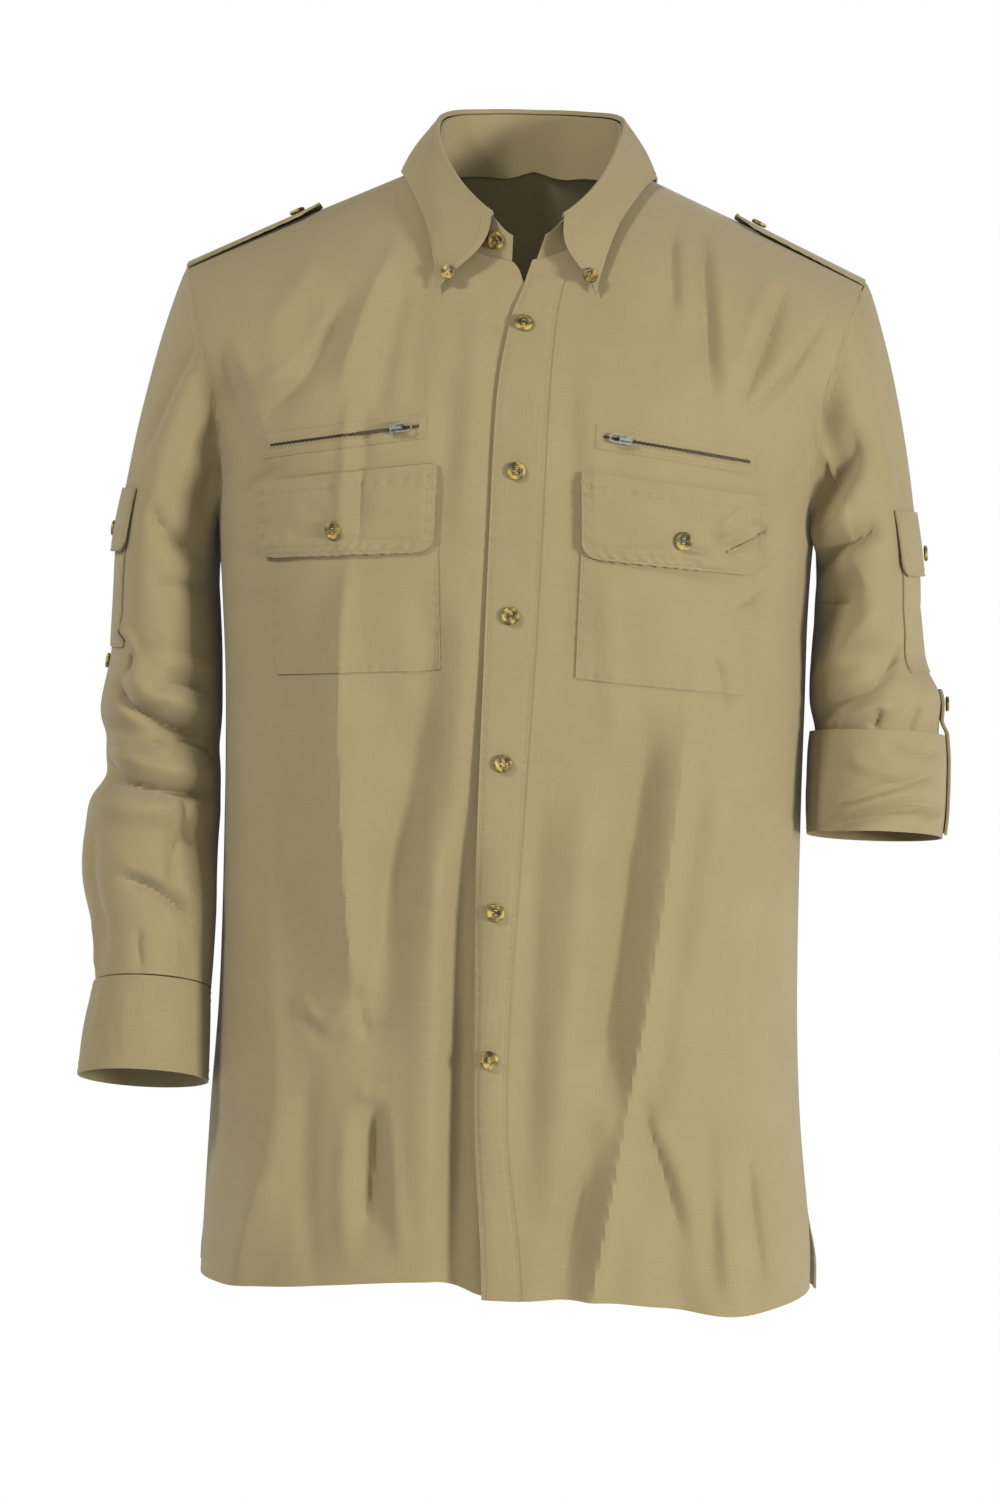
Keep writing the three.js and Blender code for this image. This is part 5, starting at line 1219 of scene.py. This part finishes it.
u, v = plane(24, 330)
z = lerp(hem_middle, PLACKET_TOP, v)
overlap = read(OVERLAP, "z", z)
near = nearest(u, 1 - u) * (overlap["right"] - overlap["left"])
rise = PATCH_GAP + PLACKET_RISE - PLACKET_SINK * ease(1 - (1 - u) * 6) + sewn(z, near)
placket = on_front(1, lerp(overlap["left"] + 0.3, overlap["right"], u), z, rise)
shell("placket_cloth", placket, 0.9, look=CLOTH_DOUBLE, node="placket")
edge_lines("placket", placket, (TOPSTITCH,), 1, BOTH_ENDS)
u, v = plane(8, 120)
z = lerp(hem_middle + 2, PLACKET_TOP - 8, v)
overlap = read(OVERLAP, "z", z)
stand = on_front(-1, lerp(overlap["left"] - STAND_UNDER, overlap["right"] - 4, u), z, -STAND_BEHIND + 0 * z)
shell("button_stand_cloth", stand, node="button_stand")

# Pockets, flaps and zips on the chest: distances out from the middle, and heights
POCKET = {
    -1: {"inner": (49, 42), "outer": (171, 158), "top": (-212, -226), "bottom": (-344, -352)},
    1: {"inner": (53, 51), "outer": (173, 168), "top": (-215, -226), "bottom": (-347, -356)},
}
FLAP = {
    -1: {"inner": (49, 50), "outer": (176, 171), "top": (-203, -219), "bottom": (-265, -271)},
    1: {"inner": (51, 53), "outer": (177.5, 175), "top": (-206, -219), "bottom": (-266, -273)},
}
FLAP_ROUND = 12.0
FLAP_RISE = 2.3
FLAP_FOLD = 10.0     # height of the band above the flap's upper row of stitches
ZIP = {
    -1: {"inner": 57, "outer": 172, "z_inner": -177.5, "z_outer": -194, "slider": 77.5},
    1: {"inner": 59, "outer": 169, "z_inner": -181, "z_outer": -195.5, "slider": 79.5},
}
LIP_HALF = 8.5
SLOT_HALF = 1.0      # the folded lips almost close over the zip
SLOT_END = 5.0


def corner_inset(far, radius):
    inside = np.clip(radius - far, 0, radius)
    return radius - np.sqrt(radius**2 - inside**2)


def chest_patch(sign, shape, columns, rows, height, rounded=0.0):
    """Points of a patch on a front, bottom to top; height gets distances from its edges."""
    u, v = plane(columns, rows)
    out = u if sign > 0 else 1 - u
    bottom = lerp(*shape["bottom"], out)
    full = lerp(*shape["top"], out) - bottom
    tall = v * full
    inset = corner_inset(tall, rounded)
    inner = lerp(shape["inner"][1], shape["inner"][0], v) + inset
    outer = lerp(shape["outer"][1], shape["outer"][0], v) - inset
    x = lerp(inner, outer, out)
    return on_front(sign, sign * x, bottom + tall, height(x - inner, outer - x, tall, full - tall))


PUFF, PUFF_HALF = 1.3, 34.0  # how far a pocket stands out, and from how far inside its edges
FLAP_LINES = (TOPSTITCH, 5.5)
FLAP_BASE = PATCH_GAP + CLOTH * 2 + 0.4
FLAP_CURL = 2.6              # the right flap's outer corner stands out this much


def pocket_height(from_inner, from_outer, from_bottom, from_top):
    near = nearest(from_inner, from_outer, from_bottom)
    run = np.where(near < from_bottom, from_bottom, from_inner)
    return PATCH_GAP + CLOTH + PUFF * ease(near / PUFF_HALF) + sewn(run, near, size=0.34)


def flap_height(sign, from_inner, from_outer, from_bottom, from_top):
    near = nearest(from_inner, from_outer, from_bottom)
    run = np.where(near < from_bottom, from_bottom, from_inner)
    share = from_inner / np.maximum(from_inner + from_outer, 1)
    low = 1 - ease(from_bottom / 62)
    lifted = ease(from_top / FLAP_FOLD) * (FLAP_RISE - 0.6 + 1.6 * low * np.sin(math.pi * share))
    curl = FLAP_CURL * ease((from_inner - 74) / 46) * ease((24 - from_bottom) / 24) if sign < 0 else 0
    tuck = crease_height(FLAP_TUCKS[sign], from_inner, from_bottom)
    lines = sewn(run, near, FLAP_LINES, 0.3) + sewn(from_inner, from_top, (FLAP_FOLD,), 0.36)
    return FLAP_BASE + lifted + curl + tuck + lines


FLAP_TUCKS = {
    -1: (
        ((96, 20), (104, 12), (118, 14), 5, 1.6, SOFT),
        ((12, 40), (30, 34), (52, 38), 7, 0.9, SOFT),
        ((96, 44), (84, 30), (70, 26), 6, -0.9, SOFT),
    ),
    1: (
        ((124, 46), (104, 27), (80, 16), 5, -3.6, CRISP),
        ((118, 54), (104, 39), (86, 25), 5, 2.4, SOFT),
        ((116, 30), (102, 18), (84, 8), 4.5, 2.4, SOFT),
        ((66, 12), (84, 5), (104, 8), 3.5, 2.2, SOFT),
        ((62, 20), (76, 12), (92, 14), 3, -1.6, CRISP),
        ((20, 36), (34, 28), (50, 34), 7, 0.8, SOFT),
    ),
}


LIP_LINE = 2.2       # distance of the sewn line from the lips' folds


def zip_height(zip_line, out):
    share = (out - zip_line["inner"]) / (zip_line["outer"] - zip_line["inner"])
    return lerp(zip_line["z_inner"], zip_line["z_outer"], share)


def zip_lips(sign, zip_line, steps=56):
    """The welt as rings round the slot, from its outer edge in to the folded lips."""
    rings = []
    for share in np.linspace(0, 1, 11):
        end, half = SLOT_END * share, lerp(LIP_HALF, SLOT_HALF, share)
        from_lip = (1 - share) * (LIP_HALF - SLOT_HALF)
        high = 0.4 + 1.3 * float(ease(share)) + 0.5 * math.exp(-from_lip / 1.5)
        start, stop = zip_line["inner"] + end, zip_line["outer"] - end
        if sign < 0:
            start, stop = stop, start
        out = np.concatenate([np.linspace(start, stop, steps + 1), np.linspace(stop, start, steps + 1)])
        up = np.concatenate([np.full(steps + 1, -half), np.full(steps + 1, half)])
        high = high + sewn(out, from_lip, (LIP_LINE,), 0.15)
        rings.append(on_front(sign, sign * out, zip_height(zip_line, out) + up, high))
    return np.array(rings)


for name, sign in SIDES:
    pocket = chest_patch(sign, POCKET[sign], 73, 79, pocket_height)
    shell(f"pocket_{name}_cloth", pocket, node=f"pocket_{name}", offset=(17, 40))
    flap = chest_patch(sign, FLAP[sign], 96, 56, partial(flap_height, sign), FLAP_ROUND)
    shell(f"pocket_flap_{name}_cloth", flap, 1.4, look=CLOTH_DOUBLE, node=f"pocket_flap_{name}")
    lips = zip_lips(sign, ZIP[sign])
    cut = (math.hypot(ZIP[sign]["outer"] - ZIP[sign]["inner"], 15) + 4, 2 * LIP_HALF)
    thick = np.linspace(0.25, CLOTH, len(lips))[:, None]
    shell(f"zip_lips_{name}_cloth", lips, thick, closed=True, node=f"zip_lips_{name}", offset=(3, 9), cut=cut)
    edge_lines("pockets", pocket, (TOPSTITCH,), 1, BOTH_ENDS)
    edge_lines("pockets", pocket, (TOPSTITCH,))
    edge_lines("flaps", flap[12:], FLAP_LINES, 1, BOTH_ENDS)
    edge_lines("flaps", flap[:, 8:-8], FLAP_LINES)
    edge_lines("flaps", flap, (FLAP_FOLD,), ends=("high",))
    edge_lines("zips", lips, (1.5,), closed=True)

# Collar. The roll line is where it turns over the top of its stand
ROLL_LINE = table(
    "turn out y z",
    (0, 5, -85, -33), (15, 24, -79, -26), (35, 44, -58, -6), (60, 58, -30, 19),
    (90, 64.5, 3, 44), (120, 58, 35, 55), (150, 33, 55, 59), (165, 17.5, 60, 60), (180, 0, 61, 60),
)
COLLAR_EDGE = table(
    "turn out tape up",
    (15, 55, -147, 4.5), (24, 59, -126, 5.5), (40, 67, -94, 6), (60, 80, -56, 5),
    (85, 90, -12, 3.5), (120, 84, 36, 3.5), (150, 50, 58, 3.5), (180, 0, 74, 3.5),
)
COLLAR_END = 15.0
STAND_END = {-1: 4, 1: 8}
STAND_TOP = 3.2
STAND_INSIDE = 2.0
STAND_FOOT = -2.0    # the foot of the stand passes behind the panels by this height
NECK_MIDDLE_Y = -8.0
ROLL_SHIFT = 5.0     # the front of the collar sits this far to the wearer's left
ROLL_SHIFT_END = 80.0
STAND_ROUND = 0.07   # share of the stand's half over which its end is rounded
STAND_END_TOP = 0.25
STAND_END_FOOT = 0.1
COLLAR_CURVE = 9.0   # turn by which the front edges bow forward at their middle
# Cross-section of the collar over the roll: distance away from the neck, and height
COLLAR_ROLL = table("place away up", (0, 0.3, -2), (1, 1, 0.6), (2, 3, 1), (3, 5, -1.5))
COLLAR_FALL = 4      # steps from the roll down to the edge, beside those over the roll
COLLAR_BULGE = 3.0


def away_from_neck(p):
    flat = p - np.array([0, NECK_MIDDLE_Y, 0])
    flat[..., 2] = 0
    return unit(flat)


def roll_point(sign, turn):
    row = read(ROLL_LINE, "turn", turn)
    shift = ROLL_SHIFT * (1 - ease(turn / ROLL_SHIFT_END))
    return np.stack([sign * row["out"] + shift, row["y"], row["z"]], axis=-1)


def stand_point(u, v):
    s = 2 * u - 1
    sign = np.where(s < 0, -1, 1)
    turn = lerp(180, np.where(s < 0, STAND_END[-1], STAND_END[1]), np.abs(s))
    x, tape = neck_point(turn)
    foot = shell_tape(sign * x, tape)
    foot = foot - away_from_neck(foot) * STAND_INSIDE + np.array([0, 0, STAND_FOOT])
    top = roll_point(sign, turn) - np.array([0, 0, STAND_TOP])
    end = ease((np.abs(s) - 1 + STAND_ROUND) / STAND_ROUND)
    return lerp(foot, top, lerp(STAND_END_FOOT * end, 1 - STAND_END_TOP * end, v)[..., None])


def collar_point(u, v):
    s = 2 * u - 1
    sign = np.where(s < 0, -1, 1)
    over = COLLAR_ROLL["place"][-1]
    j = v * (over + COLLAR_FALL)
    t = np.clip((j - over) / COLLAR_FALL, 0, 1)
    turn = lerp(180, COLLAR_END - COLLAR_CURVE * np.sin(math.pi * t), np.abs(s))
    top = roll_point(sign, turn)
    away = away_from_neck(top)
    on_roll = read(COLLAR_ROLL, "place", np.minimum(j, over))
    base = top + away * on_roll["away"][..., None] + np.array([0, 0, 1]) * on_roll["up"][..., None]
    row = read(COLLAR_EDGE, "turn", turn)
    x = sign * row["out"]
    normal = normal_of(shell_tape, x, row["tape"])
    edge = shell_tape(x, row["tape"]) + normal * row["up"][..., None]
    bulge = (COLLAR_BULGE + 0.5 * ripple(90 * s, 30 * t, 91, 9)) * np.sin(math.pi * t)
    return lerp(base, edge, t[..., None]) + away * bulge[..., None]


COLLAR_STITCH = 5.0
ROLL_ROWS = 19       # rows of the collar from its inside over the roll
collar = collar_point(*plane(224, 40))
fall = collar[ROLL_ROWS:]
shell("collar_cloth", collar, 1.3, look=CLOTH_DOUBLE, node="collar")
stand = stand_point(*plane(220, 20))
shell("collar_stand_cloth", stand, 1.3, out=-1, look=CLOTH_DOUBLE, node="collar_stand")
edge_lines("collar", fall, (COLLAR_STITCH,), ends=("high",))
edge_lines("collar", fall, (COLLAR_STITCH,), 1, BOTH_ENDS)
edge_lines("collar", stand, (TOPSTITCH,), out=-1)

# Epaulettes over the ridge of the shoulders
EPAULETTE = {"outer": 241, "inner": 147, "front": -27, "back": 12, "point": 14, "narrow": 0.3}
# Height of its face at both ends of the front edge, and at the back edge
EPAULETTE_RISE = {"inner": 5.7, "outer": 2.6, "back": 2.2}


def epaulette_point(sign, u, v, dip=0.0):
    e, clear = EPAULETTE, EPAULETTE_RISE
    out = lerp(e["inner"], e["outer"], u if sign > 0 else 1 - u)
    inset = np.maximum(0, 1 - (out - e["inner"]) / e["point"]) * (e["back"] - e["front"]) * e["narrow"]
    run = lerp(e["front"] + inset, e["back"] - inset, v)
    along = (out - e["inner"]) / (e["outer"] - e["inner"])
    rise = lerp(lerp(clear["inner"], clear["outer"], along), clear["back"], ease(v)) + dip
    return shell_tape(sign * out, run) + normal_of(shell_tape, sign * out, run) * rise[..., None]


u, v = plane(70, 32)
for name, sign in SIDES:
    width, length = EPAULETTE["back"] - EPAULETTE["front"], EPAULETTE["outer"] - EPAULETTE["inner"]
    from_tip = (u if sign > 0 else 1 - u) * length
    near = nearest(v * width, (1 - v) * width, from_tip)
    strap = epaulette_point(sign, u, v, sewn(from_tip, near, size=0.2))
    shell(f"epaulette_{name}_cloth", strap, 1.4, look=CLOTH_DOUBLE, node=f"epaulette_{name}")
    edge_lines("straps", strap, (TOPSTITCH,), ends=BOTH_ENDS)
    edge_lines("straps", strap, (TOPSTITCH,), 1, ("low" if sign > 0 else "high",))


# Sleeve pockets and flaps are read off the sleeves' own rows
def on_sleeve(sign, turn, z, height=0.0):
    """Points at turns and heights on a sleeve, lifted off it along its normal."""
    rows = sleeve[sign]
    normals = grid_normals(rows, True, -sign)
    turn, z, height = np.broadcast_arrays(*(np.asarray(a, float) for a in (turn, z, height)))
    columns = ((180 - turn) / 360 * SLEEVE_COLUMNS) % SLEEVE_COLUMNS
    left = np.floor(columns).astype(int)
    share = (columns - left)[..., None]
    right = (left + 1) % SLEEVE_COLUMNS
    result = np.zeros(turn.shape + (3,))
    for index in np.ndindex(turn.shape):
        line = lerp(rows[:, left[index]], rows[:, right[index]], share[index])
        place = np.interp(-z[index], np.maximum.accumulate(-line[:, 2]), np.arange(len(line)))
        j = min(int(place), len(line) - 2)
        normal = lerp(normals[j, left[index]], normals[j, right[index]], share[index])
        result[index] = lerp(line[j], line[j + 1], place - j) + unit(normal) * height[index]
    return result


SLEEVE_POCKET = {"front": 50, "back": -58, "top": -236, "bottom": -338}
SLEEVE_FLAP = {"front": 54, "back": -62, "top": -225, "bottom": -270}
SLEEVE_FLAP_RISE = 3.4
TURN_PER_MM = 0.8    # degrees round the sleeve for each millimetre


def sleeve_patch(sign, shape, columns, rows, rise, rounded=0.0):
    u, v = plane(columns, rows)
    tall = (shape["top"] - shape["bottom"]) * (1 - v)
    inset = corner_inset(tall, rounded) * TURN_PER_MM
    turn = lerp(shape["front"] - inset, shape["back"] + inset, u)
    near = nearest(shape["front"] - turn, turn - shape["back"], tall)
    z = lerp(shape["top"], shape["bottom"], v)
    height = PATCH_GAP + CLOTH + rise * (0.3 + 0.7 * v) + sewn(tall + turn, near, size=0.2)
    return on_sleeve(sign, turn, z, height)


for name, sign in SIDES:
    pocket = sleeve_patch(sign, SLEEVE_POCKET, 72, 64, 0.0)
    shell(f"sleeve_pocket_{name}_cloth", pocket, out=-sign, node=f"sleeve_pocket_{name}")
    flap = sleeve_patch(sign, SLEEVE_FLAP, 80, 36, SLEEVE_FLAP_RISE, 10)
    shell(f"sleeve_flap_{name}_cloth", flap, 1.4, out=-sign, look=CLOTH_DOUBLE, node=f"sleeve_flap_{name}")
    for rows in (pocket, flap):
        edge_lines("sleeve_pockets", rows, (TOPSTITCH,), 1, BOTH_ENDS, out=-sign)
        edge_lines("sleeve_pockets", rows, (TOPSTITCH,), ends=("high",), out=-sign)

# Roll tab on the left sleeve
TAB = {"top": -350, "bottom": -452, "half": 12, "over": 2.8, "clear": 3.2, "bend": 110}
ROLL_TOP, ROLL_STEP = -383, 12       # where the tab climbs over the edge of the roll


def tab_point(u, v):
    z = lerp(TAB["bottom"], TAB["top"], v)
    rolled = read(ROLL_LEFT, "z", z)
    on_roll = ease((ROLL_TOP + ROLL_STEP - z) / ROLL_STEP)
    low = on_sleeve(1, np.zeros(np.shape(z)), np.maximum(z, -445))
    x = lerp(low[..., 0] + TAB["clear"], rolled["outer"] + TAB["over"], on_roll)
    dy = lerp(-TAB["half"], TAB["half"], u)
    return np.stack([x - dy * dy / TAB["bend"], lerp(low[..., 1], rolled["y"], on_roll) + dy, z], axis=-1)


tab = tab_point(*plane(20, 60))
shell("roll_tab_left_cloth", tab, 1.4, look=CLOTH_DOUBLE, node="roll_tab_left")
edge_lines("straps", tab, (TOPSTITCH,), 1, BOTH_ENDS)

# Buttons: a turned disc with a raised rim, four holes and two bars of thread
HOLE_AWAY = 1.55
HOLE_R = 0.93
HOLE_EDGE = 0.3      # width over which a hole's wall falls
HOLE_DEEP = 1.3
DISH_R, DISH_Z = 3.4, 1.95
BUTTON_PROFILE = (
    (5.4, 0.25), (5.9, 0.4), (6.3, 0.95), (6.3, 1.55), (6.1, 2.1), (5.75, 2.45),
    (5.3, 2.6), (4.9, 2.55), (4.5, 2.35), (4.0, 2.1), (3.4, 1.98),
)
BUTTON_SIDES = 40
THREAD_BAR = ((-1.55, 0.9), (-1.1, 2.1), (0, 2.35), (1.1, 2.1), (1.55, 0.9))     # along, up
THREAD_R = 0.42
THREAD_SIDES = 6


def button_mesh():
    turn = np.linspace(0, 2 * math.pi, BUTTON_SIDES + 1)[:-1]
    rings = [*BUTTON_PROFILE, *((r, DISH_Z) for r in np.linspace(3.2, 0.2, 14))]
    verts = [(0, 0, BUTTON_PROFILE[0][1])]
    for r, h in rings:
        x, y = r * np.cos(turn), r * np.sin(turn)
        hole = np.hypot(np.abs(x) - HOLE_AWAY, np.abs(y) - HOLE_AWAY)
        deep = HOLE_DEEP * ease((HOLE_R - hole) / HOLE_EDGE) if r < DISH_R else 0 * hole
        verts += list(zip(x, y, h - deep))
    verts.append((0, 0, DISH_Z))
    faces = []
    ring = [[1 + j * BUTTON_SIDES + i for i in range(BUTTON_SIDES)] for j in range(len(rings))]
    for i in range(BUTTON_SIDES):
        n = (i + 1) % BUTTON_SIDES
        faces.append((0, ring[0][n], ring[0][i]))
        for low, high in zip(ring, ring[1:]):
            faces.append((low[i], low[n], high[n], high[i]))
        faces.append((ring[-1][i], ring[-1][n], len(verts) - 1))
    return np.array(verts), faces


BUTTON_VERTS, BUTTON_FACES = button_mesh()


thread_tubes = []


def add_button(name, place, axes, size=1.0):
    """A button with its threads; axes are the directions along, across and out of the cloth."""
    axes = np.array(axes)
    scale = np.array([size, size, 1.0])
    verts = place + (BUTTON_VERTS * scale) @ axes
    piece = new_object(f"{name}_horn", verts, BUTTON_FACES, HORN, sharp=50)
    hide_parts(name)
    for across in (-HOLE_AWAY, HOLE_AWAY):
        local = np.array([(x, across, h) for x, h in THREAD_BAR])
        thread_tubes.append((place + (local * scale) @ axes, axes[1]))


def make_threads():
    verts, faces = [], []
    for path, side in thread_tubes:
        start = len(verts)
        last = start + (len(path) - 1) * THREAD_SIDES
        up = unit(np.cross(unit(np.gradient(path, axis=0)), side))
        for p, w in zip(path, up):
            for k in range(THREAD_SIDES):
                angle = 2 * math.pi * k / THREAD_SIDES
                verts.append(p + THREAD_R * (math.cos(angle) * side + math.sin(angle) * w))
        for base in range(start, last, THREAD_SIDES):
            for k in range(THREAD_SIDES):
                a, b = base + k, base + (k + 1) % THREAD_SIDES
                faces.append((a, b, b + THREAD_SIDES, a + THREAD_SIDES))
        faces.append(tuple(range(start + THREAD_SIDES - 1, start - 1, -1)))
        faces.append(tuple(range(last, last + THREAD_SIDES)))
    new_object("button_threads", np.array(verts), faces, THREAD, sharp=80)


def front_axes(sign, x, z, slope=0.0):
    surface = partial(front_at, sign)
    x, z, step = np.array(x, float), np.array(z, float), NORMAL_STEP
    outward = normal_of(surface, x, z)
    along = surface(x + step, z + step * slope) - surface(x - step, z - step * slope)
    along = unit(along - outward * (along @ outward))
    return along, np.cross(outward, along), outward


def sew_button(name, surface, a, b, lift, size=1.0, out=1, step=0.02):
    """A button at a place of a surface that is given by two shares."""
    a, b = np.array(a, float), np.array(b, float)
    outward = normal_of(surface, a, b, step, out)
    along = unit(surface(a + step, b) - surface(a - step, b))
    add_button(name, surface(a, b) + outward * lift, (along, np.cross(outward, along), outward), size)


FLAP_BUTTON = {-1: (-116.3, -251.0), 1: (119.4, -251.0)}
PLACKET_BUTTONS = ((6, -105), (6, -207), (5.3, -306), (3.5, -407), (2, -509), (1, -610))
STAND_BUTTON = (0.024, 0.5)
COLLAR_BUTTON = {-1: 0.011, 1: 0.989}
COLLAR_BUTTON_DOWN = 0.874
EPAULETTE_BUTTON = {-1: 0.83, 1: 0.17}
SMALL, TINY = 0.9, 0.85      # sizes of the smaller buttons beside the placket's
for name, sign in SIDES:
    x, z = FLAP_BUTTON[sign]
    place = on_front(sign, x, z, FLAP_BASE + FLAP_RISE + 0.5)
    add_button(f"flap_button_{name}", place, front_axes(sign, x, z))
for i, (x, z) in enumerate(PLACKET_BUTTONS):
    place = on_front(1, x, z, PATCH_GAP + PLACKET_RISE + 0.3)
    add_button(f"placket_button_{i + 1}", place, front_axes(1, x, z))
sew_button("stand_button", stand_point, *STAND_BUTTON, 0.3, out=-1)
for name, sign in SIDES:
    down = COLLAR_BUTTON_DOWN
    sew_button(f"collar_button_{name}", collar_point, COLLAR_BUTTON[sign], down, 0.4, TINY, step=0.01)
for name, sign in SIDES:
    strap_point = partial(epaulette_point, sign)
    sew_button(f"epaulette_button_{name}", strap_point, EPAULETTE_BUTTON[sign], 0.5, 0.5, SMALL)


def sleeve_axes(sign, turn, z, height):
    spots = on_sleeve(sign, [turn, turn + 4, turn - 4, turn, turn], [z, z, z, z + 4, z - 4], height)
    along = unit(spots[1] - spots[2])
    outward = unit(np.cross(along, spots[3] - spots[4])) * -sign
    return spots[0], (along, np.cross(outward, along), outward)


def cuff_point(a, b):
    """The right cuff by turn and height, both in hundreds."""
    z = b * 100
    return section_points(-1, read(CUFF_RIGHT, "z", z), z, a * 100)


for name, sign in SIDES:
    place, axes = sleeve_axes(sign, -2, -254, PATCH_GAP + CLOTH + SLEEVE_FLAP_RISE)
    add_button(f"sleeve_flap_button_{name}", place, axes, SMALL)
place, axes = sleeve_axes(-1, 2, -349, 0.6)
add_button("roll_button_right", place, axes, TINY)
sew_button("roll_button_left", tab_point, 0.5, 0.9, 0.3, TINY)
sew_button("cuff_button_right", cuff_point, -0.75, -6.1, 0.5, SMALL)

# Zip teeth stand along the slot; the sliders and pulls are the frame's own solids
TOOTH = {"long": 0.85, "wide": 1.9, "high": 0.7, "step": 1.5, "up": 1.9}


def zip_teeth(name, sign):
    zip_line = ZIP[sign]
    verts, faces = [], []
    shape = np.array([(x, y, z) for z in (-1, 1) for y in (-1, 1) for x in (-1, 1)], float) / 2
    shape *= (TOOTH["long"], TOOTH["wide"], TOOTH["high"])
    box = ((0, 2, 3, 1), (4, 5, 7, 6), (0, 1, 5, 4), (2, 6, 7, 3), (0, 4, 6, 2), (1, 3, 7, 5))
    slope = sign * (zip_line["z_outer"] - zip_line["z_inner"]) / (zip_line["outer"] - zip_line["inner"])
    out = np.arange(zip_line["inner"] + SLOT_END + 1.5, zip_line["outer"] - SLOT_END - 1.5, TOOTH["step"])
    for i, place in enumerate(out):
        x, z = sign * place, zip_height(zip_line, place)
        axes = np.array(front_axes(sign, x, z, slope))
        shift = np.array([0, 0.35 * (-1) ** i, 0])
        at = on_front(sign, x, z, TOOTH["up"])
        start = len(verts)
        verts += list(at + (shape + shift) @ axes)
        faces += [tuple(start + k for k in face) for face in box]
    new_object(f"zip_teeth_{name}", np.array(verts), faces, ZIP_CHAIN, sharp=30)


for name, sign in SIDES:
    zip_teeth(name, sign)
    for part, look in (("chain", ZIP_CHAIN), ("slider", METAL), ("pull", METAL)):
        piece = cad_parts[f"zip_{part}_{name}"]
        piece.data.materials.clear()
        piece.data.materials.append(look)
        if look is METAL:
            bevel = piece.modifiers.new("bevel", "BEVEL")
            bevel.width = 0.25 * MM
            bevel.segments = 2

make_threads()
make_stitches()
make_stage()
bpy.context.scene.view_settings.view_transform = "Standard"
